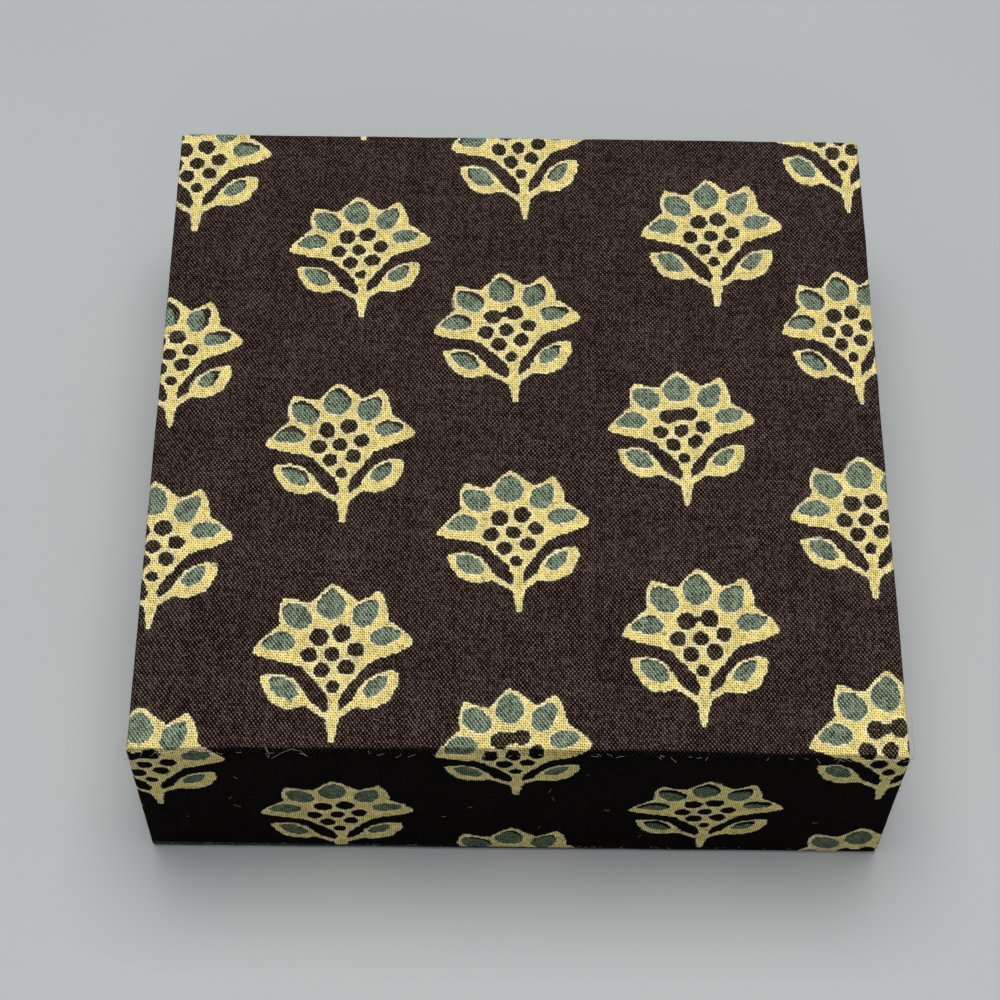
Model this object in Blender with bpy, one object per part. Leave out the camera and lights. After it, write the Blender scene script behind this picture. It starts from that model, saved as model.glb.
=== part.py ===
"""Square presentation box for jewelry: a covered board lid that drops over a covered board tray,
with a padded lid lining and a lift-out velvet pad. Metres, +Z up, origin under the tray's centre.
"""

import math

import bmesh
import bpy
from mathutils import Vector

MM = 0.001

# Outside of the closed box
BOX_WIDTH = 101.6 * MM
BOX_DEPTH = 101.6 * MM
BOX_HEIGHT = 31.75 * MM
RIM_GAP = 1.5 * MM

# Sheet stock
GREYBOARD = 1.8 * MM
COVER_CLOTH = 0.4 * MM
LINING_PAPER = 0.3 * MM
CORNER_TAPE = 0.2 * MM
FOOT_PAPER = 0.4 * MM
PAD_CARD = 1.0 * MM
VELVET = 0.5 * MM
SATIN = 0.3 * MM
RIBBON = 0.3 * MM

# Clearances
SEAT = 0.3 * MM
SLIDE_FIT = 0.6 * MM
PAD_FIT = 1.0 * MM

# Covering and making-up
COVER_CORNER = 0.9 * MM
COVER_EDGE = 0.7 * MM
LEAST_CORNER = 0.2 * MM
TURN_IN = 10.0 * MM
TURN_UNDER = 12.0 * MM
TAPE_LEG = 9.0 * MM
TAPE_END = 1.0 * MM
FOOT_MARGIN = 1.5 * MM

# Risers that carry the lift-out pad
RISER_HEIGHT = 4.4 * MM
RISER_WIDTH = 2.4 * MM

# Lift-out pad
INSERT_FOAM = 4.0 * MM
INSERT_CROWN = 1.3 * MM
INSERT_SHOULDER = 2.4 * MM
INSERT_CORNER = 3.0 * MM
INSERT_TURN_UNDER = 8.0 * MM
PAD_DRAW_IN = 0.35 * MM
SLIT_LENGTH = 27.0 * MM
SLIT_DEPTH = 2.6 * MM
SLIT_HALF_WIDTH = 1.5 * MM
SLIT_TAPER = 3.0 * MM
SLIT_EASE = 0.7 * MM

# Padded lid lining
LID_PAD_FOAM = 1.3 * MM
LID_PAD_CROWN = 0.8 * MM
LID_PAD_SHOULDER = 1.2 * MM
LID_PAD_CORNER = 2.5 * MM
LID_PAD_MARGIN = 3.0 * MM
LID_PAD_TURN_OVER = 8.0 * MM

# Ribbon pull
RIBBON_WIDTH = 10.0 * MM
TAB_LENGTH = 17.0 * MM
TAIL_RISE = 0.8 * MM

# Mesh fineness
CORNER_STEPS = 3
EDGE_STEPS = 3
TAB_ARC_STEPS = 5
TAB_RUN_STEPS = 6
PAD_CELL = 7.0 * MM

HALF_WIDTH = BOX_WIDTH / 2
HALF_DEPTH = BOX_DEPTH / 2

# Depth of each layer below the outer face of its wall
BOARD_INSET = COVER_CLOTH + SEAT + CORNER_TAPE + SEAT
TAPE_INSET = COVER_CLOTH + SEAT
LINING_OUTSIDE = BOARD_INSET + GREYBOARD + SEAT
WALL_INSET = LINING_OUTSIDE + LINING_PAPER

# The tray stands inside the lid
TRAY_INSET = WALL_INSET + SLIDE_FIT
TRAY_BOARD_INSET = TRAY_INSET + BOARD_INSET
TRAY_INSIDE = TRAY_INSET + WALL_INSET

# Heights from the table up
COVER_FOOT = FOOT_PAPER + SEAT
FLOOR_LOW = COVER_FOOT + COVER_CLOTH + SEAT
FLOOR_HIGH = FLOOR_LOW + GREYBOARD
TRAY_WALL_LOW = FLOOR_HIGH + SEAT
FLOOR_LINING_HIGH = TRAY_WALL_LOW + LINING_PAPER
LID_BOARD_HIGH = BOX_HEIGHT - COVER_CLOTH - SEAT
LID_BOARD_LOW = LID_BOARD_HIGH - GREYBOARD
CEILING_HIGH = LID_BOARD_LOW - SEAT
CEILING_LOW = CEILING_HIGH - LINING_PAPER
TRAY_RIM = CEILING_LOW - SEAT
TRAY_WALL_HIGH = TRAY_RIM - COVER_CLOTH - SEAT
LID_WALL_LOW = RIM_GAP + COVER_CLOTH + SEAT
RISER_LOW = FLOOR_LINING_HIGH + SEAT
INSERT_BACK = RISER_LOW + RISER_HEIGHT + SEAT

# Finishes: colour, roughness, metallic
FINISHES = {
    "printed_cotton": ((0.045, 0.030, 0.026), 0.85, 0.0),
    "plain_cotton": ((0.030, 0.055, 0.058), 0.85, 0.0),
    "greyboard": ((0.330, 0.310, 0.280), 0.90, 0.0),
    "gummed_tape": ((0.450, 0.290, 0.150), 0.70, 0.0),
    "lining_paper": ((0.640, 0.560, 0.420), 0.75, 0.0),
    "foot_paper": ((0.040, 0.040, 0.042), 0.80, 0.0),
    "pad_card": ((0.560, 0.520, 0.440), 0.85, 0.0),
    "foam": ((0.700, 0.690, 0.640), 0.95, 0.0),
    "velvet": ((0.055, 0.120, 0.120), 0.95, 0.0),
    "satin": ((0.720, 0.640, 0.480), 0.40, 0.0),
    "ribbon": ((0.700, 0.610, 0.420), 0.45, 0.0),
}


def clear_scene():
    for old in list(bpy.data.objects):
        bpy.data.objects.remove(old, do_unlink=True)


def finish(name, kind):
    """A Principled BSDF material for one piece."""
    colour, roughness, metallic = FINISHES[kind]
    material = bpy.data.materials.new(name + "_" + kind)
    material.use_nodes = True
    shader = material.node_tree.nodes["Principled BSDF"]
    shader.inputs["Base Color"].default_value = (*colour, 1.0)
    shader.inputs["Roughness"].default_value = roughness
    shader.inputs["Metallic"].default_value = metallic
    material.diffuse_color = (*colour, 1.0)
    return material


def moving_axis(name, at):
    """An empty that its body's pieces hang from."""
    empty = bpy.data.objects.new(name, None)
    empty.location = at
    empty.empty_display_size = TURN_IN
    bpy.context.collection.objects.link(empty)
    return empty


def place(name, bm, kind, carrier):
    """Makes a mesh drawn in place into an object with its origin at its own middle."""
    bmesh.ops.recalc_face_normals(bm, faces=bm.faces)
    low = Vector([min(v.co[i] for v in bm.verts) for i in range(3)])
    high = Vector([max(v.co[i] for v in bm.verts) for i in range(3)])
    middle = (low + high) / 2
    bmesh.ops.translate(bm, verts=bm.verts, vec=-middle)
    mesh = bpy.data.meshes.new(name)
    bm.to_mesh(mesh)
    bm.free()
    mesh.materials.append(finish(name, kind))
    piece = bpy.data.objects.new(name, mesh)
    bpy.context.collection.objects.link(piece)
    if carrier is None:
        piece.location = middle
    else:
        piece.parent = carrier
        piece.location = middle - carrier.location
    return piece


def block(name, low, high, kind, carrier):
    """A rectangular piece of board, card or strip."""
    bm = bmesh.new()
    bmesh.ops.create_cube(bm, size=1)
    size = [b - a for a, b in zip(low, high)]
    middle = [(a + b) / 2 for a, b in zip(low, high)]
    bmesh.ops.scale(bm, verts=bm.verts, vec=size)
    bmesh.ops.translate(bm, verts=bm.verts, vec=middle)
    return place(name, bm, kind, carrier)


def corner_radius(inset):
    """The covering's corner radius, this far in from the outside."""
    return max(COVER_CORNER - inset, LEAST_CORNER)


def outline(inset, radius, z):
    """A rectangle with round corners, this far inside the box's outline."""
    half = (HALF_WIDTH - inset, HALF_DEPTH - inset)
    points = []
    for quarter in range(4):
        x_side = 1 if quarter in (0, 3) else -1
        y_side = 1 if quarter in (0, 1) else -1
        centre = (x_side * (half[0] - radius), y_side * (half[1] - radius))
        for step in range(CORNER_STEPS + 1):
            angle = math.pi / 2 * (quarter + step / CORNER_STEPS)
            x = centre[0] + radius * math.cos(angle)
            y = centre[1] + radius * math.sin(angle)
            points.append(Vector((x, y, z)))
    return points


def loft(name, rows, kind, carrier, ring):
    """Joins rows of points side by side. A ring's last row meets its first; else both ends close."""
    bm = bmesh.new()
    loops = [[bm.verts.new(point) for point in row] for row in rows]
    pairs = list(zip(loops, loops[1:]))
    if ring:
        pairs.append((loops[-1], loops[0]))
    else:
        bm.faces.new(loops[0])
        bm.faces.new(loops[-1])
    for near, far in pairs:
        bridge(bm, near, far)
    return place(name, bm, kind, carrier)


def bridge(bm, near, far):
    for i in range(len(near)):
        j = (i + 1) % len(near)
        bm.faces.new((near[i], near[j], far[j], far[i]))


def band(name, outer, inner, low, high, kind, carrier):
    """A flat-sided lining or strip that runs round inside the walls."""
    rows = [
        outline(outer, corner_radius(outer), low),
        outline(outer, corner_radius(outer), high),
        outline(inner, corner_radius(inner), high),
        outline(inner, corner_radius(inner), low),
    ]
    return loft(name, rows, kind, carrier, ring=True)


def sheet(name, inset, low, high, kind, carrier):
    """A flat sheet with the box's own outline."""
    rows = [outline(inset, corner_radius(inset), low), outline(inset, corner_radius(inset), high)]
    return loft(name, rows, kind, carrier, ring=False)


def walls(prefix, inset, low, high, carrier):
    """Four boards: front and back run the full width, the sides butt between them."""
    x_out = HALF_WIDTH - inset
    y_out = HALF_DEPTH - inset
    x_in = x_out - GREYBOARD
    y_in = y_out - GREYBOARD
    block(prefix + "_front_wall", (-x_out, -y_out, low), (x_out, -y_in, high), "greyboard", carrier)
    block(prefix + "_back_wall", (-x_out, y_in, low), (x_out, y_out, high), "greyboard", carrier)
    side = y_in - SEAT
    block(prefix + "_left_wall", (-x_out, -side, low), (-x_in, side, high), "greyboard", carrier)
    block(prefix + "_right_wall", (x_in, -side, low), (x_out, side, high), "greyboard", carrier)


def stays(prefix, inset, low, high, carrier):
    """Gummed tape bent round each corner, on the outside of the boards."""
    for name, x_side, y_side in (
        ("front_left", -1, -1),
        ("front_right", 1, -1),
        ("back_left", -1, 1),
        ("back_right", 1, 1),
    ):
        x_out = HALF_WIDTH - inset
        y_out = HALF_DEPTH - inset
        corners = [
            (x_out, y_out),
            (x_out - TAPE_LEG, y_out),
            (x_out - TAPE_LEG, y_out - CORNER_TAPE),
            (x_out - CORNER_TAPE, y_out - CORNER_TAPE),
            (x_out - CORNER_TAPE, y_out - TAPE_LEG),
            (x_out, y_out - TAPE_LEG),
        ]
        rows = [[Vector((x_side * x, y_side * y, z)) for x, y in corners] for z in (low, high)]
        loft(prefix + "_stay_" + name, rows, "gummed_tape", carrier, ring=False)


def folded_edge(inset, z, radius, face):
    """Rows that turn a fold from a level face down a wall, or back up to a face."""
    rows = []
    for step in range(EDGE_STEPS + 1):
        angle = math.pi / 2 * step / EDGE_STEPS
        in_by = inset + radius * (1 - math.sin(angle))
        height = z - face * radius * (1 - math.cos(angle))
        rows.append(outline(in_by, corner_radius(in_by - radius), height))
    return rows


def lid_cover(carrier):
    """Printed cotton over the top, down the walls, round the lower edge and up inside."""
    inside = WALL_INSET
    inner_face = inside - COVER_CLOTH
    top_in = inside + COVER_EDGE
    turn_top = RIM_GAP + TURN_IN
    cloth_low = RIM_GAP + COVER_CLOTH
    cloth_high = BOX_HEIGHT - COVER_CLOTH
    rows = [outline(top_in, corner_radius(0), BOX_HEIGHT)]
    rows += folded_edge(0, BOX_HEIGHT, COVER_EDGE, 1)
    rows += list(reversed(folded_edge(0, RIM_GAP, COVER_CLOTH, -1)))
    rows += [
        outline(inside, corner_radius(inside), RIM_GAP),
        outline(inside, corner_radius(inside), turn_top),
        outline(inner_face, corner_radius(inner_face), turn_top),
        outline(inner_face, corner_radius(inner_face), cloth_low),
        outline(COVER_CLOTH, corner_radius(COVER_CLOTH), cloth_low),
        outline(COVER_CLOTH, corner_radius(COVER_CLOTH), cloth_high),
    ]
    return loft("lid_cover", rows, "printed_cotton", carrier, ring=False)


def tray_cover():
    """Plain cotton round the tray's walls, over its rim and under its floor."""
    outer = TRAY_INSET
    cloth = outer + COVER_CLOTH
    inside = TRAY_INSIDE
    inner_face = inside - COVER_CLOTH
    under = outer + TURN_UNDER
    turn_low = TRAY_RIM - TURN_IN
    cloth_high = TRAY_RIM - COVER_CLOTH
    flange_high = COVER_FOOT + COVER_CLOTH
    rows = [
        outline(under, corner_radius(under), COVER_FOOT),
        outline(outer, corner_radius(outer - TRAY_INSET), COVER_FOOT),
        outline(outer, corner_radius(outer - TRAY_INSET), TRAY_RIM),
        outline(inside, corner_radius(inside), TRAY_RIM),
        outline(inside, corner_radius(inside), turn_low),
        outline(inner_face, corner_radius(inner_face), turn_low),
        outline(inner_face, corner_radius(inner_face), cloth_high),
        outline(cloth, corner_radius(cloth - TRAY_INSET), cloth_high),
        outline(cloth, corner_radius(cloth - TRAY_INSET), flange_high),
        outline(under, corner_radius(under), flange_high),
    ]
    return loft("base_cover", rows, "plain_cotton", None, ring=True)


class Pad:
    """A covered pad on a card: its plan inside the box's outline, its crown and its facing."""

    def __init__(self, inset, back, facing, foam, crown, shoulder, corner, cloth, slit):
        self.half_x = HALF_WIDTH - inset
        self.half_y = HALF_DEPTH - inset
        self.back = back
        self.facing = facing
        self.foam = foam
        self.crown = crown
        self.shoulder = shoulder
        self.corner = corner
        self.cloth = cloth
        self.slit = slit
        self.card_low = cloth + SEAT
        self.foam_low = self.card_low + PAD_CARD + SEAT
        self.edge_height = self.foam_low + foam + SEAT + cloth

    def slit_depth(self, x, y, ease):
        """How far the ring slit sinks the surface here."""
        if not self.slit:
            return 0.0
        across = 1 - abs(y) / (SLIT_HALF_WIDTH + ease)
        along = (SLIT_LENGTH / 2 + ease - abs(x)) / SLIT_TAPER
        return SLIT_DEPTH * max(0.0, min(1.0, along)) * max(0.0, across)

    def height(self, x, y, inset, ease=0.0):
        """The outer face above the pad's back, or a face this far inside it."""
        half_x = self.half_x - inset
        half_y = self.half_y - inset
        u = min(1.0, abs(x) / half_x)
        v = min(1.0, abs(y) / half_y)
        crown = self.crown * (1 - u * u) * (1 - v * v)
        radius = self.shoulder - inset
        edge = min(half_x - abs(x), half_y - abs(y))
        drop = 0.0
        if edge < radius:
            reach = radius - max(edge, 0.0)
            drop = radius - math.sqrt(max(0.0, radius * radius - reach * reach))
        return self.edge_height - inset + crown - drop - self.slit_depth(x, y, ease)

    def lines(self):
        """Grid lines across the pad: close over the shoulder and the slit, and even between."""
        shoulder_shares = (0.0, 0.08, 0.30, 0.65, 1.0)
        x_marks = [self.half_x - share * self.shoulder for share in shoulder_shares]
        y_marks = [self.half_y - share * self.shoulder for share in shoulder_shares]
        if self.slit:
            x_marks += [SLIT_LENGTH / 2, SLIT_LENGTH / 2 - SLIT_TAPER]
            y_marks += [SLIT_HALF_WIDTH, SLIT_HALF_WIDTH + SLIT_EASE]
        return even_lines(x_marks), even_lines(y_marks)

    def plan(self, x, y, inset):
        """Moves a grid point to a smaller plan with round corners and drawn-in sides."""
        half_x = self.half_x - inset
        half_y = self.half_y - inset
        u = x / self.half_x
        v = y / self.half_y
        px = half_x * u - math.copysign(PAD_DRAW_IN * u * u * (1 - v * v), u)
        py = half_y * v - math.copysign(PAD_DRAW_IN * v * v * (1 - u * u), v)
        radius = max(self.corner - inset, LEAST_CORNER)
        dx = abs(px) - (half_x - radius)
        dy = abs(py) - (half_y - radius)
        if dx > 0 and dy > 0:
            share = max(dx, dy) / math.hypot(dx, dy)
            px = math.copysign(half_x - radius + dx * share, px)
            py = math.copysign(half_y - radius + dy * share, py)
        return px, py

    def point(self, x, y, inset, height):
        px, py = self.plan(x, y, inset)
        return Vector((px, py, self.back + self.facing * height))


def even_lines(marks):
    """Mirrors the marks about zero and fills wide gaps with even lines."""
    fixed = sorted({0.0, *marks, *(-mark for mark in marks)})
    filled = [fixed[0]]
    for low, high in zip(fixed, fixed[1:]):
        count = max(1, math.ceil((high - low) / PAD_CELL))
        filled += [low + (high - low) * step / count for step in range(1, count + 1)]
    return filled


def rim_of(xs, ys):
    """The grid points round the edge of a grid, in order."""
    front = [(x, ys[0]) for x in xs[:-1]]
    right = [(xs[-1], y) for y in ys[:-1]]
    back = [(x, ys[-1]) for x in reversed(xs[1:])]
    left = [(xs[0], y) for y in reversed(ys[1:])]
    return front + right + back + left


def grid_face(bm, pad, xs, ys, inset, ease):
    """A grid over the pad's face, and the loop of vertices round it."""
    verts = {}
    x_share = (pad.half_x - inset) / pad.half_x
    y_share = (pad.half_y - inset) / pad.half_y
    for x in xs:
        for y in ys:
            height = pad.height(x * x_share, y * y_share, inset, ease)
            verts[x, y] = bm.verts.new(pad.point(x, y, inset, height))
    for x0, x1 in zip(xs, xs[1:]):
        for y0, y1 in zip(ys, ys[1:]):
            bm.faces.new((verts[x0, y0], verts[x1, y0], verts[x1, y1], verts[x0, y1]))
    return [verts[spot] for spot in rim_of(xs, ys)]


def level_loop(bm, pad, rim, inset, height, plan_inset=0.0):
    """A loop at one height. A plan inset draws it in beyond the layer's own inset."""
    x_share = 1 - plan_inset / (pad.half_x - inset)
    y_share = 1 - plan_inset / (pad.half_y - inset)
    points = [pad.point(x, y, inset, height) for x, y in rim]
    return [bm.verts.new((p.x * x_share, p.y * y_share, p.z)) for p in points]


def pad_cover(name, pad, turn, kind, carrier):
    """Cloth over a pad's face and sides, turned round behind its card."""
    bm = bmesh.new()
    xs, ys = pad.lines()
    rim = rim_of(xs, ys)
    loops = [
        grid_face(bm, pad, xs, ys, 0.0, 0.0),
        level_loop(bm, pad, rim, 0.0, 0.0),
        level_loop(bm, pad, rim, 0.0, 0.0, turn),
        level_loop(bm, pad, rim, 0.0, pad.cloth, turn),
        level_loop(bm, pad, rim, pad.cloth, pad.cloth),
        grid_face(bm, pad, xs, ys, pad.cloth, 0.0),
    ]
    for near, far in zip(loops, loops[1:]):
        bridge(bm, near, far)
    return place(name, bm, kind, carrier)


def pad_foam(name, pad, carrier):
    """The foam under the cloth, with its slit eased for the cloth that goes down it."""
    bm = bmesh.new()
    xs, ys = pad.lines()
    inset = pad.cloth + SEAT
    top = grid_face(bm, pad, xs, ys, inset, SLIT_EASE)
    low = level_loop(bm, pad, rim_of(xs, ys), inset, pad.foam_low)
    bridge(bm, top, low)
    bm.faces.new(low)
    return place(name, bm, "foam", carrier)


def pad_card(name, pad, carrier):
    bm = bmesh.new()
    xs, ys = pad.lines()
    inset = pad.cloth + SEAT
    rim = rim_of(xs, ys)
    low = level_loop(bm, pad, rim, inset, pad.card_low)
    high = level_loop(bm, pad, rim, inset, pad.card_low + PAD_CARD)
    bridge(bm, low, high)
    bm.faces.new(low)
    bm.faces.new(high)
    return place(name, bm, "pad_card", carrier)


def tab_path(pad):
    """Points of the ribbon's middle line over the pad's front shoulder and along its face."""
    shares = [step / TAB_ARC_STEPS for step in range(TAB_ARC_STEPS + 1)]
    insets = [pad.shoulder * (1 - math.cos(math.pi / 2 * share)) for share in shares]
    run = TAB_LENGTH - pad.shoulder
    insets += [pad.shoulder + run * step / TAB_RUN_STEPS for step in range(1, TAB_RUN_STEPS + 1)]
    face = [surface_point(pad, inset) for inset in insets]
    offset = SEAT + RIBBON / 2
    path = []
    for i, here in enumerate(face):
        before = face[max(i - 1, 0)]
        after = face[min(i + 1, len(face) - 1)]
        along = (after - before).normalized()
        if i == 0:
            along = Vector((0, 0, 1))
        outward = Vector((0, -along.z, along.y))
        path.append(here + offset * outward)
    return path


def surface_point(pad, inset):
    """A point of the pad's face on its middle line, this far behind its front edge."""
    y = inset - pad.half_y
    py = pad.plan(0.0, y, 0.0)[1]
    return Vector((0, py, pad.back + pad.height(0.0, y, 0.0)))


def strip(name, path, kind, carrier):
    """A ribbon of one thickness along a path that lies in the plane X = 0."""
    bm = bmesh.new()
    rows = []
    for i, here in enumerate(path):
        along = (path[min(i + 1, len(path) - 1)] - path[max(i - 1, 0)]).normalized()
        outward = Vector((0, -along.z, along.y))
        side = Vector((RIBBON_WIDTH / 2, 0, 0))
        lift = outward * (RIBBON / 2)
        corners = (here - side - lift, here + side - lift, here + side + lift, here - side + lift)
        rows.append([bm.verts.new(corner) for corner in corners])
    for near, far in zip(rows, rows[1:]):
        bridge(bm, near, far)
    bm.faces.new(rows[0])
    bm.faces.new(rows[-1])
    return place(name, bm, kind, carrier)


def build_tray():
    sheet("foot_sheet", TRAY_INSET + FOOT_MARGIN, 0.0, FOOT_PAPER, "foot_paper", None)
    tray_cover()
    floor_x = HALF_WIDTH - TRAY_BOARD_INSET
    floor_y = HALF_DEPTH - TRAY_BOARD_INSET
    block(
        "base_floor_board",
        (-floor_x, -floor_y, FLOOR_LOW),
        (floor_x, floor_y, FLOOR_HIGH),
        "greyboard",
        None,
    )
    walls("base", TRAY_BOARD_INSET, TRAY_WALL_LOW, TRAY_WALL_HIGH, None)
    tape_inset = TRAY_INSET + TAPE_INSET
    stays("base", tape_inset, TRAY_WALL_LOW + TAPE_END, TRAY_WALL_HIGH - TAPE_END, None)
    lining_outer = TRAY_INSET + LINING_OUTSIDE
    turn_low = TRAY_RIM - TURN_IN
    band(
        "base_wall_lining",
        lining_outer,
        TRAY_INSIDE,
        TRAY_WALL_LOW,
        turn_low - SEAT,
        "lining_paper",
        None,
    )
    floor_inset = TRAY_INSIDE + SEAT
    sheet(
        "base_floor_lining",
        floor_inset,
        TRAY_WALL_LOW,
        FLOOR_LINING_HIGH,
        "lining_paper",
        None,
    )


def build_risers():
    """Four board strips on the floor lining, against the tray's walls."""
    x_out = HALF_WIDTH - TRAY_INSIDE - SEAT
    y_out = HALF_DEPTH - TRAY_INSIDE - SEAT
    x_in = x_out - RISER_WIDTH
    y_in = y_out - RISER_WIDTH
    side = y_in - SEAT
    low = RISER_LOW
    high = RISER_LOW + RISER_HEIGHT
    block("riser_front", (-x_out, -y_out, low), (x_out, -y_in, high), "greyboard", None)
    block("riser_back", (-x_out, y_in, low), (x_out, y_out, high), "greyboard", None)
    block("riser_left", (-x_out, -side, low), (-x_in, side, high), "greyboard", None)
    block("riser_right", (x_in, -side, low), (x_out, side, high), "greyboard", None)


def build_lid(lid):
    lid_cover(lid)
    top_x = HALF_WIDTH - BOARD_INSET
    top_y = HALF_DEPTH - BOARD_INSET
    block(
        "lid_top_board",
        (-top_x, -top_y, LID_BOARD_LOW),
        (top_x, top_y, LID_BOARD_HIGH),
        "greyboard",
        lid,
    )
    walls("lid", BOARD_INSET, LID_WALL_LOW, CEILING_HIGH, lid)
    stays("lid", TAPE_INSET, LID_WALL_LOW + TAPE_END, CEILING_HIGH - TAPE_END, lid)
    lining_low = RIM_GAP + TURN_IN + SEAT
    band(
        "lid_wall_lining", LINING_OUTSIDE, WALL_INSET, lining_low, CEILING_HIGH, "lining_paper", lid
    )
    ceiling_inset = WALL_INSET + SEAT
    sheet("lid_ceiling_lining", ceiling_inset, CEILING_LOW, CEILING_HIGH, "lining_paper", lid)


def lid_pad():
    """The satin pad under the lid's ceiling, which faces down."""
    return Pad(
        inset=TRAY_INSIDE + LID_PAD_MARGIN,
        back=CEILING_LOW - SEAT,
        facing=-1,
        foam=LID_PAD_FOAM,
        crown=LID_PAD_CROWN,
        shoulder=LID_PAD_SHOULDER,
        corner=LID_PAD_CORNER,
        cloth=SATIN,
        slit=False,
    )


def insert_pad():
    """The velvet pad that rests on the risers."""
    return Pad(
        inset=TRAY_INSIDE + PAD_FIT,
        back=INSERT_BACK,
        facing=1,
        foam=INSERT_FOAM,
        crown=INSERT_CROWN,
        shoulder=INSERT_SHOULDER,
        corner=INSERT_CORNER,
        cloth=VELVET,
        slit=True,
    )


def build_pads(lid, insert):
    above = lid_pad()
    pad_card("lid_pad_card", above, lid)
    pad_foam("lid_pad_foam", above, lid)
    pad_cover("lid_pad_cover", above, LID_PAD_TURN_OVER, "satin", lid)
    below = insert_pad()
    pad_card("insert_card", below, insert)
    pad_foam("insert_foam", below, insert)
    pad_cover("insert_cover", below, INSERT_TURN_UNDER, "velvet", insert)


def build_ribbon(insert):
    """The ribbon's glued tail on the pad's front, and its free tab on a fold of its own."""
    path = tab_path(insert_pad())
    fold = path[0]
    tail_low = Vector((0, fold.y, INSERT_BACK + TAIL_RISE))
    tail_high = Vector((0, fold.y, fold.z - SEAT / 2))
    strip("ribbon_tail", [tail_low, tail_high], "ribbon", insert)
    axis = moving_axis("tab_axis", fold)
    free = [Vector((0, fold.y, fold.z + SEAT / 2))] + path[1:]
    strip("pull_tab", free, "ribbon", axis)
    return fold


def main():
    clear_scene()
    lid = moving_axis("lid_axis", Vector((0, 0, RIM_GAP)))
    insert = moving_axis("insert_axis", Vector((0, 0, INSERT_BACK)))
    build_tray()
    build_risers()
    build_lid(lid)
    build_pads(lid, insert)
    fold = build_ribbon(insert)
    print("ribbon fold at", [round(value, 6) for value in fold])


main()
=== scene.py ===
"""Dresses the packed jewelry presentation box in printed cotton, board, paper, satin and velvet."""

import functools
import math
import random

import bmesh
import bpy
from mathutils import Euler, Matrix, Vector, noise


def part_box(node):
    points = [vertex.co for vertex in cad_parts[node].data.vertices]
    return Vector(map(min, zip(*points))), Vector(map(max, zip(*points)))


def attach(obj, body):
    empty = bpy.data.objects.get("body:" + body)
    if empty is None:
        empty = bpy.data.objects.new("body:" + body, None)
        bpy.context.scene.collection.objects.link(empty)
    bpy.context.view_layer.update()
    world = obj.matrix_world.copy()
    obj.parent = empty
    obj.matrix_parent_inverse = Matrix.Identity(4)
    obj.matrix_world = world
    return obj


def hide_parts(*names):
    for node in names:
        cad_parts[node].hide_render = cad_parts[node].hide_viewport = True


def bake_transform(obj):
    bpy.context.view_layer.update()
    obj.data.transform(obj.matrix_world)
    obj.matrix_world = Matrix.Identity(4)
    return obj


bl_info = {
    "name": "Jewelry presentation box",
    "version": (1, 0, 0),
    "blender": (4, 5, 0),
    "location": "View3D > Sidebar > Presentation box",
    "description": "Covers, pads, boards and papers of a cloth-covered presentation box",
    "category": "Object",
}

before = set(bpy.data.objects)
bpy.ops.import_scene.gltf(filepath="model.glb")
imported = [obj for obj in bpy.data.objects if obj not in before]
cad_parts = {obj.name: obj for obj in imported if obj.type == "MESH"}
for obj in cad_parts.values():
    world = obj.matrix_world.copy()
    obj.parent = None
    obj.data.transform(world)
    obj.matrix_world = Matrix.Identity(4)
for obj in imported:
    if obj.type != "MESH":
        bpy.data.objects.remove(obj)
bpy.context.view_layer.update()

MM = 0.001
TINY = 0.01 * MM
# A face counts as level where the upright part of its normal is larger than this
LEVEL = 0.7
QUARTER = math.pi / 2
FULL_TURN = 2 * math.pi

LID_LOW, LID_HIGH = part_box("lid_cover")
TRAY_LOW, TRAY_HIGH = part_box("base_cover")
INSERT_LOW, INSERT_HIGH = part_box("insert_cover")
LID_PAD_LOW, LID_PAD_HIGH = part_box("lid_pad_cover")
TAB_LOW, TAB_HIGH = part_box("pull_tab")
TAIL_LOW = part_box("ribbon_tail")[0]

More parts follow.
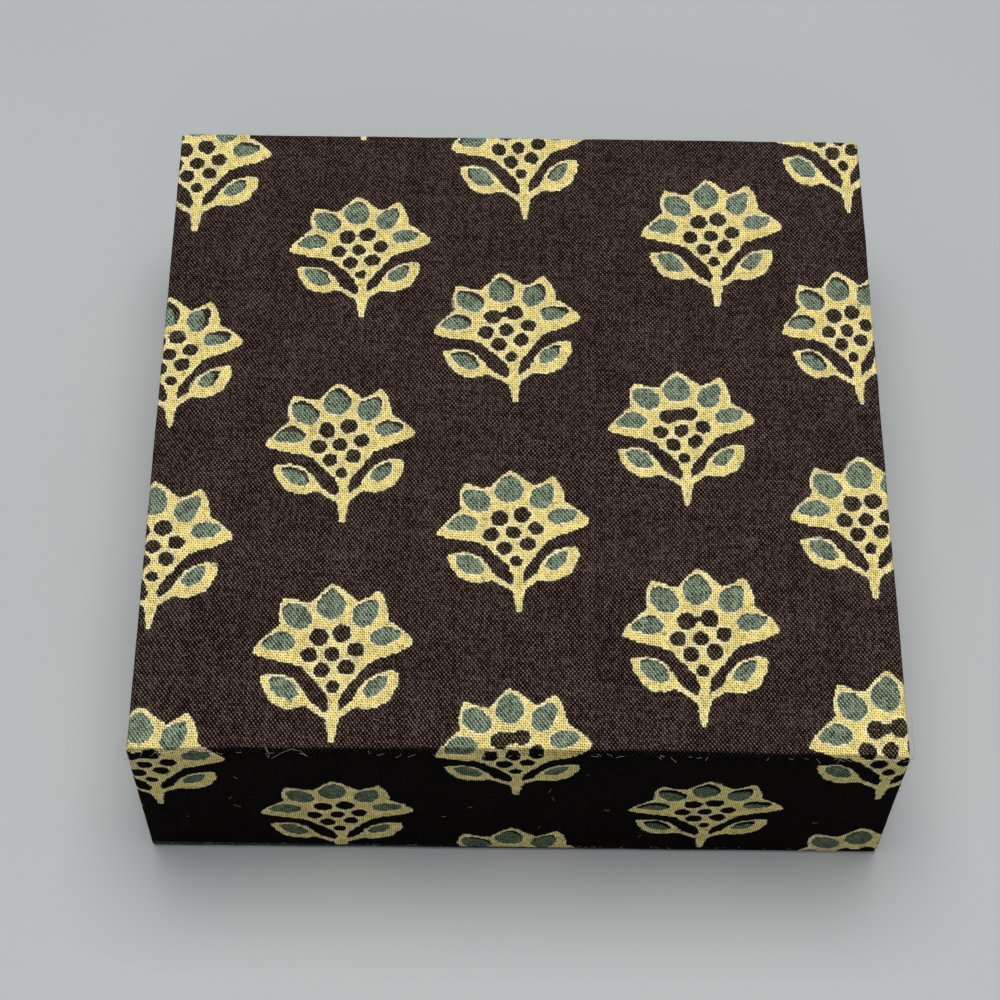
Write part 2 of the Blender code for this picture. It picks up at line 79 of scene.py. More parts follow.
# Each printed sprig by the block's column and row: its foot in millimetres on the flat cloth from
# the middle of the lid's top, its turn in degrees, its width and height against the block's, how
# far the teal block slipped, and how far the two upper seeds run together.
SPRIGS = {
    (-2, -3): (-46.3, -104.4, 0.5, 0.89, 1.02, 0, -0.4, 0),
    (-2, -2): (-48.3, -66.5, 1.5, 0.99, 0.98, 0, -0.1, 1),
    (-2, -1): (-49.6, -32.2, -0.5, 0.99, 0.97, -0.2, -0.2, 0),
    (-2, 0): (-49.1, -0.6, 2.5, 0.97, 0.94, -1.2, -1, 0),
    (-2, 1): (-48, 33.1, 0, 1.02, 0.98, -0.7, -0.9, 0),
    (-1, -3): (-24.6, -83, -1.5, 0.97, 1.04, 0, 0, 0),
    (-1, -2): (-24.7, -48.5, -0.5, 0.99, 1, 0.1, -0.6, 0),
    (-1, -1): (-24.5, -15.7, 1.5, 0.97, 0.97, -0.5, -1.1, 0),
    (-1, 0): (-23.1, 18.2, 1, 0.96, 0.92, -0.5, -0.6, 0.2),
    (-1, 1): (-23.8, 50.3, 0, 0.97, 0.98, 0, -0.3, 0),
    (0, -3): (-0.2, -98.9, 0, 1.02, 1.08, -0.4, -0.9, 0),
    (0, -2): (-0.5, -62.4, 0.5, 0.95, 0.94, -0.1, -0.4, 1),
    (0, -1): (-0.4, -29.1, 1.5, 0.97, 0.94, 0.1, -0.4, 0),
    (0, 0): (-1, 4, 3.5, 0.99, 0.96, -0.7, -1, 0.6),
    (0, 1): (0.4, 36, 2.5, 0.95, 1.04, 0.4, -0.5, 1),
    (1, -3): (25.4, -79.9, -1, 0.97, 0.96, -0.4, -1.5, 0),
    (1, -2): (23.8, -45.6, -2, 0.98, 1, -0.1, -0.7, 0.6),
    (1, -1): (22.7, -12.4, 0, 0.96, 0.94, -0.1, -0.2, 1),
    (1, 0): (28.1, 20.8, 0, 0.97, 0.98, -0.1, -0.1, 0),
    (1, 1): (27.3, 54.5, 1, 0.98, 0.94, 0, -0.3, 0),
    (2, -3): (48.3, -97.5, 0.5, 0.98, 1.07, -0.1, -0.6, 0.8),
    (2, -2): (47.8, -62.7, -2.5, 0.99, 1.09, -0.3, -0.6, 0.8),
    (2, -1): (47.5, -26.6, 0, 0.98, 0.96, -0.2, 0, 0),
    (2, 0): (47.8, 4.5, 4, 0.88, 0.98, -0.5, -1.2, 0),
    (2, 1): (48.2, 38, 1, 0.93, 1.07, -0.1, 0, 1),
}
SPRIG_COLUMN = 23.9
SPRIG_ROW = 33.2
SPRIG_FIRST = 3.3
SPRIG_SIZE = 0.975
SPRIG_MIDDLE = (-0.3, 11.8)
SPRIG_COLUMNS = range(-4, 5)
SPRIG_ROWS = range(-4, 4)

# Flower and leaves of the outline block, in millimetres from the sprig's foot: a middle, and
# points round it
FLOWER = ((-0.3, 12.6), (
    (-10.8, 12.05), (-8.6, 11.3), (-5.5, 10.8), (-3.85, 10.05), (-2.15, 8.3), (-0.75, 6.7),
    (-0.1, 4.9), (0.3, 4.0), (1.1, 5.2), (1.4, 6.4), (2.4, 7.8), (3.6, 9.5), (4.75, 11.0),
    (6.2, 11.7), (8.3, 12.4), (10.5, 13.6), (10.6, 14.4), (9.0, 16.0), (7.25, 17.25),
    (7.15, 18.6), (6.6, 20.5), (5.7, 21.8), (4.4, 20.7), (3.05, 20.0), (1.7, 21.1),
    (0.4, 22.3), (-0.5, 22.7), (-1.3, 22.05), (-2.2, 21.0), (-3.2, 19.8), (-4.5, 19.75),
    (-6.8, 20.6), (-7.4, 19.5), (-7.55, 17.5), (-7.3, 16.3), (-8.8, 14.8), (-10.2, 13.4),
))
LEFT_LEAF = ((-6.2, 6.4), (
    (-9.45, 8.75), (-8.3, 8.95), (-6.8, 9.05), (-5.6, 8.65), (-4.3, 7.4), (-3.3, 5.9),
    (-2.5, 4.8), (-3.9, 4.4), (-5.5, 4.1), (-7.05, 4.6), (-8.4, 6.1), (-9.2, 7.6),
))
RIGHT_LEAF = ((6.1, 6.9), (
    (8.85, 9.65), (7.8, 9.8), (6.6, 9.5), (5.3, 8.85), (4.15, 7.7), (3.4, 6.4), (2.9, 5.4),
    (2.6, 4.5), (3.9, 4.4), (5.1, 4.25), (6.7, 4.9), (8.3, 6.8), (9.0, 8.7),
))
# Ends and half widths at the ends, of the stem and the two twigs
STEMS = (
    ((0.38, -0.3), (0.37, 2.0), 0.38, 0.7),
    ((0.37, 2.0), (0.4, 3.3), 0.7, 1.05),
    ((0.4, 3.3), (0.5, 5.2), 0.8, 0.55),
    ((-3.0, 4.85), (-0.4, 3.0), 0.42, 0.35),
    ((2.9, 4.75), (1.2, 3.5), 0.5, 0.45),
)
# Openings of the petals and leaves in the outline block: a middle, and points round it
OPENINGS = (
    ((-0.6, 19.4), (
        (1.25, 19.4), (1.05, 20.3), (0.45, 21.25), (-0.5, 21.8), (-1.25, 21.3), (-2.05, 20.4),
        (-2.4, 19.4), (-2.2, 18.4), (-1.5, 17.65), (-0.6, 17.4), (0.4, 17.7), (1.05, 18.5),
    )),
    ((-5.0, 17.8), (
        (-3.2, 17.8), (-3.75, 18.5), (-4.3, 19.05), (-5.0, 19.4), (-6.0, 19.55), (-6.6, 19.35),
        (-6.9, 18.8), (-6.9, 17.8), (-6.5, 16.95), (-5.8, 16.3), (-5.0, 15.9), (-4.0, 16.0),
        (-3.25, 16.8),
    )),
    ((4.3, 18.5), (
        (5.6, 18.5), (5.75, 19.4), (5.35, 20.35), (4.8, 20.25), (4.3, 20.0), (3.6, 19.7),
        (2.95, 19.3), (2.6, 18.5), (2.5, 17.5), (3.15, 16.5), (4.3, 16.4), (5.1, 17.1),
        (5.5, 17.8),
    )),
    ((-7.4, 14.0), (
        (-5.15, 14.0), (-5.85, 14.8), (-6.6, 15.15), (-7.4, 15.1), (-8.2, 14.7), (-8.9, 14.15),
        (-9.5, 13.5), (-9.3, 13.2), (-8.1, 12.85), (-7.4, 12.7), (-6.6, 12.7), (-5.6, 13.0),
    )),
    ((6.7, 15.1), (
        (8.8, 15.1), (8.75, 15.7), (8.0, 15.9), (7.25, 16.05), (6.7, 16.1), (6.2, 15.95),
        (5.6, 15.7), (5.05, 15.1), (5.2, 14.2), (5.9, 13.75), (6.7, 13.8), (7.35, 13.95),
        (8.15, 14.3),
    )),
    ((-6.3, 7.2), (
        (-8.2, 8.35), (-6.9, 8.6), (-5.75, 8.1), (-4.8, 7.1), (-4.4, 6.1), (-5.0, 5.65),
        (-6.2, 5.75), (-7.3, 6.45), (-8.0, 7.4),
    )),
    ((5.9, 7.6), (
        (7.0, 7.6), (7.25, 8.35), (7.3, 8.95), (6.8, 9.05), (5.9, 8.7), (5.4, 8.35),
        (4.9, 7.9), (4.5, 7.3), (4.25, 6.7), (5.1, 6.2), (5.9, 6.4), (6.4, 6.8), (6.7, 7.2),
    )),
)
# How much wider than the openings the teal block's shapes are, and how far they lie beside them
TEAL_SPREAD = 0.3
TEAL_SHIFT = (0.15, 0.3)
# Round seeds left in the ground's colour: place and radius
SEEDS = (
    (-1.95, 14.7, 1.18), (1.1, 15.25, 1.17), (-3.2, 11.93, 1.05), (-0.12, 12.17, 0.99),
    (3.05, 12.88, 1.03), (-1.38, 9.7, 1.06), (1.85, 10.3, 1.03), (0.2, 7.45, 0.79),
)
SEED_BRIDGE = ((-1.95, 14.8), (1.1, 15.2), 0.95, 0.9)
# How far behind the front edge the top's band of painted shade lies at its middle, and how
# much less at its ends
FOLD_REACH = 1.1
FOLD_BOW = 0.5
# How far the lid's foot goes on below its boards, and where the teal strip round it ends: the
# height at the middle, and how much less for each millimetre to the right
HEM = 1.25
STRIP_HEIGHT = 1.15
STRIP_TILT = 0.012
LID_FOOT = LID_LOW - Vector((0.0, 0.0, HEM * MM))
# What the pale dye does to the ground's colour beside it
STAIN = (1.03, 1.25, 0.88)
# How many short fibres stand out: on each side at its top edge, upright corner, foot and wall,
# and on the whole top
EDGE_FIBRES = 70
CORNER_FIBRES = 25
FOOT_FIBRES = 45
WALL_FIBRES = 14
TOP_FIBRES = 110
# Longer threads that came loose: whether dark, thickness against a fibre's, and the way in
# millimetres
LOOSE_THREADS = (
    (False, 1.0, (-32.0, -51.0, 30.6), (-31.6, -51.1, 31.4), (-30.6, -50.8, 32.0),
     (-29.3, -50.3, 32.2), (-28.1, -50.6, 32.1), (-27.3, -51.0, 31.4)),
    (False, 1.2, (-33.1, -49.6, 31.8), (-32.6, -50.2, 32.1), (-32.2, -50.9, 31.8),
     (-32.3, -51.1, 31.0)),
    (True, 2.2, (50.6, -50.6, 31.2), (51.1, -50.5, 31.5), (51.3, -49.2, 31.8),
     (51.1, -47.2, 31.9), (51.3, -45.3, 31.9), (51.1, -44.2, 31.8)),
    (False, 1.6, (-50.6, -50.4, 31.6), (-51.2, -50.6, 31.9), (-51.9, -50.2, 32.0)),
    (False, 1.4, (-50.5, -50.7, 31.2), (-51.1, -51.0, 31.3), (-51.6, -50.9, 31.0),
     (-51.8, -50.4, 31.1)),
    (False, 1.3, (-50.3, -50.8, 30.6), (-50.9, -51.2, 30.4), (-51.4, -51.1, 30.0)),
    (False, 1.2, (-50.7, -49.4, 31.6), (-51.3, -49.2, 31.9), (-51.7, -48.6, 31.9)),
    (False, 1.3, (-37.4, -50.9, 24.6), (-37.1, -51.0, 24.4), (-36.9, -50.95, 24.1)),
    (False, 1.3, (-33.4, -50.9, 12.6), (-33.2, -51.0, 12.3), (-33.2, -50.95, 11.9)),
)
# Radius of cloth where it folds over a board's or a card's edge
FOLD_ROUND = 0.3 * MM
# How far from a fold a wall's rows of faces begin
ROW_MARGIN = 0.4 * MM
# Length over which the tray's cloth climbs on to its own lap
LAP_STEP = 0.3 * MM
# Crown, shoulder's radius and corners' radius of the pads' foams and covers, in millimetres
INSERT_FOAM_FORM = (1.25, 2.3, 2.9)
INSERT_COVER_FORM = (1.2, 2.3, 2.9)
LID_FOAM_FORM = (0.75, 0.9, 2.0)
LID_COVER_FORM = (0.7, 1.1, 2.4)
# Size of the pads' faces
INSERT_FOAM_GRID = 2.5 * MM
LID_FOAM_GRID = 3.0 * MM
COVER_GRID = 2.0 * MM
# How much longer and deeper the foam's slit is than the velvet's, and half its width
SLIT_LONGER = 2.0 * MM
SLIT_DEEPER = 0.3 * MM
FOAM_SLIT_WIDTH = 2.2 * MM
# Where rows of vertices lie over the slit, against half its width
SLIT_ROWS = (-1.4, -1, -0.7, -0.4, 0, 0.4, 0.7, 1, 1.4)
# How far the pads' sides are drawn in between their corners, and how near a side that begins
DRAWN_IN = 0.3 * MM
DRAWN_REACH = 3 * MM
# Air pressure in the covers' cloth simulation, and its length in frames
PRESSURE = 4.0
SWELL_FRAMES = 20
# What the glue holds while a cover swells: so much of the sides, and the slit from that depth on
INSERT_HELD = 3.0 * MM
LID_HELD = 1.5 * MM
SLIT_HELD = 0.3 * MM
# Height of the ribbon's cords against their distance, and its fine threads' distance in
# millimetres
CORD_HEIGHT_SHARE = 0.07
RIBBON_THREAD = 0.2
# Where the ribbon's plain edge begins, in millimetres from its middle
PLAIN_EDGE = (4.45, 4.6)
# Points of the ribbon's way round the pad's shoulder, and on to its free end
BEND_POINTS = 24
RUN_POINTS = 60
# Length and distance of the satin's floats, in millimetres
FLOAT_LENGTH = 0.55
FLOAT_PITCH = 0.09
# Distance of the lining paper's laid lines and chain lines, in millimetres
LAID_PITCH = 1.1
CHAIN_PITCH = 24.0
# The camera: place in metres and turn in degrees
CAMERA_PLACE = (-0.0051, -0.18132, 0.31968)
CAMERA_TURN = (30.3806, -0.6867, 0.3396)


def colour(name, description, value):
    return bpy.props.FloatVectorProperty(
        name=name, description=description, default=value, subtype="COLOR", min=0.0, max=1.0
    )


def length(name, description, millimetres):
    return bpy.props.FloatProperty(
        name=name, description=description, default=millimetres * MM, unit="LENGTH", min=0.0
    )


def amount(name, description, value, high=1.0):
    return bpy.props.FloatProperty(
        name=name, description=description, default=value, min=0.0, max=high
    )


class CoverSettings(bpy.types.PropertyGroup):
    """Printed cotton of the lid."""

    ground: colour("Ground", "Brown-black ground of the print", (0.0060, 0.0017, 0.0008))
    # Painted highlight: the lamp's sheen on the yarns' crowns, put into the ground's colour
    crown: colour("Ground on the crowns", "Where the yarns rise to the light", (0.176, 0.126, 0.110))
    cream: colour("Cream", "Outline of the sprigs", (0.92, 0.755, 0.262))
    cream_rim: colour("Cream's rim", "Paler edge of the outlines", (0.92, 0.85, 0.62))
    teal: colour("Teal", "Filling of the petals", (0.168, 0.211, 0.146))
    # Painted shade: a darker copy of the teal for the walls, as if they were in shade
    shaded_teal: colour("Teal on the walls", "Filling where it hasn't faded", (0.100, 0.133, 0.083))
    strip: colour("Strip", "Plain teal strip round the lid's foot", (0.030, 0.050, 0.046))
    warp_pitch: length("Warp pitch", "Distance between lengthwise yarns", 0.2747)
    weft_pitch: length("Weft pitch", "Distance between crosswise yarns", 0.354)
    skew: amount("Skew", "How far the crosswise yarns run down to the right", 0.06)
    corner: length("Corner", "Rounding of the upright corners", 0.55)
    cloth: length("Cloth", "Thickness of the cotton", 0.36)
    turn_in: length("Turn-in", "How far the cloth goes up inside the rim", 10.0)
    rim: length("Rim", "Width of the covered lower edge", 3.6)
    wrap: length("Corner wrap", "How far the front and back cloth goes round a corner", 1.4)
    grid: length("Grid", "Size of the faces", 1.6)
    wobble: length("Wobble", "How far the block's outline strays", 0.3)
    fibre: length("Fibre", "Radius of a loose cotton fibre", 0.016)
    pale_fibre: colour("Pale fibre", "Fibres of the cream yarns", (0.50, 0.45, 0.33))
    dark_fibre: colour("Dark fibre", "Fibres of the ground", (0.035, 0.026, 0.022))


class TraySettings(bpy.types.PropertyGroup):
    """Plain cotton of the tray."""

    dye: colour("Dye", "Deep teal of the plain cotton", (0.030, 0.055, 0.058))
    yarn: length("Yarn", "Distance between the yarns", 0.33)
    corner: length("Corner", "Rounding of the upright corners", 0.6)
    cloth: length("Cloth", "Thickness of the cotton", 0.36)
    rim: length("Rim", "Width of the covered rim", 3.6)
    turn_in: length("Turn-in", "How far the cloth goes down inside", 10.0)
    turn_under: length("Turn-under", "How far the cloth goes in under the floor", 12.0)
    lap: length("Lap", "How far the strip's ends lie on each other", 10.0)
    grid: length("Grid", "Size of the faces", 3.0)


class BoardSettings(bpy.types.PropertyGroup):
    """Boards and papers."""

    board: colour("Board", "Grey board", (0.33, 0.31, 0.28))
    tape: colour("Tape", "Brown gummed tape", (0.45, 0.29, 0.15))
    lining: colour("Lining", "Lining paper", (0.64, 0.56, 0.42))
    foot: colour("Foot", "Black paper under the floor", (0.040, 0.040, 0.042))
    card: colour("Card", "Card of the pads", (0.56, 0.52, 0.44))


class PadSettings(bpy.types.PropertyGroup):
    """Pads, ribbon and their cloths."""

    velvet: colour("Velvet", "Velvet of the lift-out pad", (0.055, 0.120, 0.120))
    satin: colour("Satin", "Satin of the lid's pad", (0.72, 0.64, 0.48))
    foam: colour("Foam", "Foam of both pads", (0.70, 0.69, 0.64))
    ribbon: colour("Ribbon", "Ribbed ribbon of the pull tab", (0.70, 0.61, 0.42))
    slit: length("Slit", "Length of the ring slit", 27.0)
    slit_depth: length("Slit depth", "How far the velvet goes down into the slit", 2.6)
    slit_width: length("Slit width", "Half the width of the slit's mouth", 1.35)
    velvet_cloth: length("Velvet's thickness", "Thickness of the velvet", 0.42)
    satin_cloth: length("Satin's thickness", "Thickness of the satin", 0.24)
    ribbon_cloth: length("Ribbon's thickness", "Thickness of the ribbon", 0.27)
    ribbon_bend: length("Ribbon's bend", "Radius of its way over the pad's shoulder", 2.9)
    ribbon_curl: length("Ribbon's curl", "How far the free end curls up", 0.6)
    rib: length("Rib", "Distance between the ribbon's cords", 0.62)
    selvedge: length("Selvedge", "Width of the ribbon's plain edges", 0.45)
    turned: length("Turned under", "How far the cloths go over the back of the card", 8.0)
    swell: length("Swell", "How far a cover may rise in the cloth simulation", 0.3)


class StageSettings(bpy.types.PropertyGroup):
    """Floor, lamps and camera."""

    floor: colour("Floor", "Pale matt table", (0.525, 0.548, 0.545))
    key: amount("Key", "Power of the soft lamp behind and above", 4.6, 1000.0)
    fill: amount("Fill", "Power of the weak lamp in front", 1.0, 1000.0)
    world: amount("World", "Light from all round", 0.2)
    lens: amount("Lens", "Focal length in millimetres", 87.696, 500.0)


class Signal:
    """A number or a vector that comes out of a node, with the sums that can be made of it."""

    def __init__(self, finish, socket):
        self.finish = finish
        self.socket = socket

    def is_vector(self):
        return self.socket.type in ("VECTOR", "RGBA")

    def sum(self, operation, *others):
        if self.is_vector():
            return self.finish.vector(operation, self, *others)
        return self.finish.math(operation, self, *others)

    def __add__(self, other):
        return self.sum("ADD", other)

    def __sub__(self, other):
        return self.sum("SUBTRACT", other)

    def __mul__(self, other):
        if self.is_vector() and not isinstance(other, (tuple, list)):
            if not (isinstance(other, Signal) and other.is_vector()):
                return self.finish.vector("SCALE", self, scale=other)
        return self.sum("MULTIPLY", other)

    def __truediv__(self, other):
        return self.sum("DIVIDE", other)

    def low(self, other):
        return self.sum("MINIMUM", other)

    def high(self, other):
        return self.sum("MAXIMUM", other)

    def floor(self):
        return self.sum("FLOOR")

    def parts(self):
        node = self.finish.node("SeparateXYZ", {0: self})
        return tuple(Signal(self.finish, out) for out in node.outputs)

    def fade(self, start, end, out_start=0.0, out_end=1.0):
        """Runs smoothly from one value to the other while this goes from start to end."""
        node = self.finish.node(
            "MapRange",
            {"Value": self, "From Min": start, "From Max": end,
             "To Min": out_start, "To Max": out_end},
            interpolation_type="SMOOTHSTEP",
        )
        return Signal(self.finish, node.outputs[0])


class Finish:
    """A material whose colour, roughness and relief come from nodes."""

    def __init__(self, name, roughness=0.8):
        self.material = bpy.data.materials.new(name)
        self.material.use_nodes = True
        self.tree = self.material.node_tree
        self.shader = self.tree.nodes["Principled BSDF"]
        self.shader.inputs["Roughness"].default_value = roughness

    def join(self, value, socket):
        if isinstance(value, Signal):
            self.tree.links.new(value.socket, socket)
        elif socket.type == "RGBA":
            socket.default_value = (*value[:3], 1.0)
        elif socket.type == "VECTOR" and len(value) == 2:
            socket.default_value = (*value, 0.0)
        else:
            socket.default_value = value

    def node(self, kind, inputs, **settings):
        node = self.tree.nodes.new("ShaderNode" + kind)
        for key, value in settings.items():
            setattr(node, key, value)
        for key, value in inputs.items():
            self.join(value, node.inputs[key])
        return node

    def math(self, operation, *values, clamp=False):
        node = self.node("Math", dict(enumerate(values)), operation=operation, use_clamp=clamp)
        return Signal(self, node.outputs[0])

    def vector(self, operation, *values, scale=None):
        node = self.node("VectorMath", dict(enumerate(values)), operation=operation)
        if scale is not None:
            self.join(scale, node.inputs["Scale"])
        single = operation in ("DOT_PRODUCT", "DISTANCE", "LENGTH")
        return Signal(self, node.outputs["Value" if single else "Vector"])

    def uv(self, name):
        return Signal(self, self.node("UVMap", {}, uv_map=name).outputs[0])

    def place(self):
        """The place on the piece, in millimetres."""
        return Signal(self, self.node("TexCoord", {}).outputs["Object"]) * (1 / MM)

    def attribute(self, name):
        return Signal(self, self.node("Attribute", {}, attribute_name=name).outputs["Vector"])

    def noise(self, place, scale, detail=2.0, roughness=0.5, distortion=0.0, vector=False):
        """Noise from 0 to 1 about a half, or three of them."""
        node = self.node(
            "TexNoise",
            {"Vector": place, "Scale": scale, "Detail": detail,
             "Roughness": roughness, "Distortion": distortion},
            noise_dimensions="3D",
        )
        return Signal(self, node.outputs["Color" if vector else "Fac"])

    def cloud(self, place, scale, detail, low, high):
        """Noise that runs smoothly between two values."""
        return self.noise(place, scale, detail).fade(0.3, 0.7, low, high)

    def uneven(self, place, scale, reach, detail=1.0):
        """Noise about zero."""
        return (self.noise(place, scale, detail) - 0.5) * reach

    def stray(self, place, scale, reach):
        """Noise about zero, along each axis."""
        return (self.noise(place, scale, 1.0, vector=True) - (0.5, 0.5, 0.5)) * reach

    def grain(self, place):
        """A number from 0 to 1 that has nothing to do with its neighbours."""
        node = self.node("TexWhiteNoise", {"Vector": place}, noise_dimensions="3D")
        return Signal(self, node.outputs["Value"])

    def joined(self, x, y, z=0.0):
        node = self.node("CombineXYZ", {0: x, 1: y, 2: z})
        return Signal(self, node.outputs[0])

    def mix(self, share, first, second):
        """A colour between two."""
        node = self.node("Mix", {0: share, 6: first, 7: second}, data_type="RGBA")
        return Signal(self, node.outputs[2])

    def between(self, share, first, second):
        """A number between two."""
        node = self.node("Mix", {0: share, 2: first, 3: second}, data_type="FLOAT")
        return Signal(self, node.outputs[0])

    def tint(self, colour_in, share):
        """A colour multiplied by a number."""
        return self.vector("SCALE", colour_in, scale=share)

    def bump(self, height, millimetres, strength):
        inputs = {"Height": height, "Distance": millimetres * MM, "Strength": strength}
        return Signal(self, self.node("Bump", inputs).outputs[0])

    def finish(self, **sockets):
        """Joins signals and plain numbers to the shader's own sockets."""
        for key, value in sockets.items():
            self.join(value, self.shader.inputs[key.replace("_", " ")])
        return self.material

    def round_outline(self, point, outline):
        """Distance outside an outline that is given by a middle and points round it."""
        middle, points = outline
        spokes = sorted(
            (math.atan2(y - middle[1], x - middle[0]) / FULL_TURN + 0.5,
             math.hypot(x - middle[0], y - middle[1]))
            for x, y in points
        )
        reach = max(radius for _, radius in spokes)
        first, last = spokes[0], spokes[-1]
        share = (1 - last[0]) / (first[0] + 1 - last[0])
        seam = last[1] + (first[1] - last[1]) * share
        node = self.node("FloatCurve", {})
        curve = node.mapping.curves[0]
        curve.points[0].location = (0.0, seam / reach)
        curve.points[1].location = (1.0, seam / reach)
        for turn, radius in spokes:
            curve.points.new(turn, radius / reach)
        for spot in curve.points:
            spot.handle_type = "VECTOR"
        node.mapping.update()
        arm = point - middle
        x, y, _ = arm.parts()
        turn = self.math("MULTIPLY_ADD", self.math("ARCTAN2", y, x), 1 / FULL_TURN, 0.5)
        self.join(turn, node.inputs["Value"])
        return arm.sum("LENGTH") - Signal(self, node.outputs[0]) * reach

    def outlines(self, point, shapes):
        """Distance outside the nearest of several outlines."""
        return functools.reduce(
            Signal.low, (self.round_outline(point, shape) for shape in shapes)
        )

    def drop(self, point, foot, tip, foot_width, tip_width):
        """Distance outside a drop with round ends of two widths."""
        foot, axis = Vector((*foot, 0.0)), Vector((*tip, 0.0)) - Vector((*foot, 0.0))
        arm = point - tuple(foot)
        share = self.math(
            "MULTIPLY", arm.sum("DOT_PRODUCT", tuple(axis / axis.length_squared)), 1.0, clamp=True
        )
        nearest = self.vector("SCALE", tuple(axis), scale=share)
        width = self.math("MULTIPLY_ADD", share, tip_width - foot_width, foot_width)
        return arm.sum("DISTANCE", nearest) - width


class Weave:
    """Yarns of a plain weave on flat cloth in millimetres, slightly skewed as it was laid."""

    def __init__(self, finish, flat, warp_pitch, weft_pitch, skew=0.0):
        strayed = flat + finish.stray(flat, 0.06, 0.6) + finish.stray(flat, 0.8, 0.1)
        across = strayed.sum("DOT_PRODUCT", (1 / warp_pitch, -0.2 * skew / warp_pitch, 0.0))
        along = strayed.sum("DOT_PRODUCT", (skew / weft_pitch, 1 / weft_pitch, 0.0))
        warp, weft = across.floor(), along.floor()
        # From the point to the middle of its crossing, and that middle
        self.step = finish.joined(
            (warp - across + 0.5) * warp_pitch, (weft - along + 0.5) * weft_pitch
        )
        self.crossing = flat + self.step

        def wave(turns):
            return finish.math("COSINE", turns * math.pi)

        # Twisted yarns catch the light along one diagonal more than along the other
        self.lean = wave(across + along) * -1.0
        self.counter_lean = wave(across - along)
        self.warp_round = wave(across * 2.0) * -1.0
        self.weft_round = wave(along * 2.0) * -1.0
        self.grain = finish.grain(finish.joined(warp, weft, 7.0)) - 0.5
        self.warp_grain = finish.grain(finish.joined(warp, 0.5)) - 0.5
        self.weft_grain = finish.grain(finish.joined(0.5, weft, 3.0)) - 0.5

    def light(self, lean, counter_lean, warp, weft, grain, yarn):
        """Light on the yarns, about zero, from the strengths of its parts."""
        waves = self.lean * lean + self.counter_lean * counter_lean
        waves = waves + self.warp_round * warp + self.weft_round * weft
        return waves + self.grain * grain + (self.warp_grain + self.weft_grain) * yarn


class BlockPrint:
    """How much of each block's colour shows at a point, and the distance outside the outline."""

    def __init__(self, cloth, flat, weave, wobble):
        # The dye takes whole yarns, so an outline goes in small steps along them
        stray = cloth.stray(flat, 0.28, wobble)
        fray = cloth.stray(weave.crossing, 1.5, 0.5)
        point = (cloth.uv("sprig") + weave.step * 0.6 + stray + fray) * (1.0, 1.0, 0.0)
        self.slip = cloth.attribute("teal_slip")
        slip_x, slip_y, merging = self.slip.parts()

        self.outline = cloth.outlines(point, (FLOWER, LEFT_LEAF, RIGHT_LEAF))
        for stem in STEMS:
            self.outline = self.outline.low(cloth.drop(point, *stem))

        seeds = None
        for x, y, radius in SEEDS:
            spot = point.sum("DISTANCE", (x, y, 0.0)) - radius - 0.1
            seeds = spot if seeds is None else cloth.math("SMOOTH_MIN", seeds, spot, 0.5)
        seeds = seeds.low(cloth.drop(point, *SEED_BRIDGE) + (merging * -1.0 + 1.0))
        seeds = seeds + cloth.uneven(weave.crossing, 0.45, 0.5)

        # The teal block never falls quite where the outline block did
        slipped = point - cloth.joined(slip_x, slip_y) - (*TEAL_SHIFT, 0.0)
        openings = cloth.outlines(point, OPENINGS) - 0.12
        openings = openings + cloth.uneven(weave.crossing, 0.5, 0.4)
        teals = cloth.outlines(slipped, OPENINGS) - TEAL_SPREAD

        inside = self.outline.fade(0.09, -0.09)
        in_openings = openings.fade(0.12, -0.12)
        self.teal = teals.fade(0.18, -0.18) * (in_openings * 0.4 + 0.6)
        self.teal_rim = cloth.math("ABSOLUTE", teals).fade(0.22, 0.08) * (inside * -1.0 + 1.0)
        # Here and there the outline block left the cloth half bare
        full = cloth.noise(weave.crossing, 0.75, 2.0).fade(0.26, 0.35, 0.35, 1.0)
        cream_here = self.outline.high(seeds * -1.0).high(openings * -1.0)
        self.cream = cream_here.fade(0.09, -0.09) * full
        self.cream_rim = cream_here.fade(-0.36, -0.16)


class PaintedShade:
    """Where shade is painted on the lid's cloth, where it lies flat on top, and where the strip
    ends.
    """

    def __init__(self, cloth, flat):
        # Painted shade: the walls are darker than the top, as if in shade, and the dark begins a
        # little before the edge, most of all in the middle of the front
        x, y, height = cloth.place().parts()
        half_x, half_y, top = (size / MM for size in LID_HIGH)
        bow = cloth.math("POWER", x * (1 / half_x), 2.0) * FOLD_BOW
        bow = bow + cloth.uneven(flat, 0.15, 0.5, 2.0)
        front = (y + (half_y - FOLD_REACH) + bow).fade(-0.25, 0.25)
        sides = (cloth.math("ABSOLUTE", x) * -1.0 + half_x).low(y * -1.0 + half_y)
        lit_top = height.fade(top - 1.2, top - 0.3)
        self.lit_top = lit_top.low(front).low(sides.fade(0.0, 0.35))
        self.flat_top = height.fade(top - 0.45, top - 0.05)
        self.above_strip = (x * STRIP_TILT + height).fade(STRIP_HEIGHT - 0.12, STRIP_HEIGHT + 0.12)


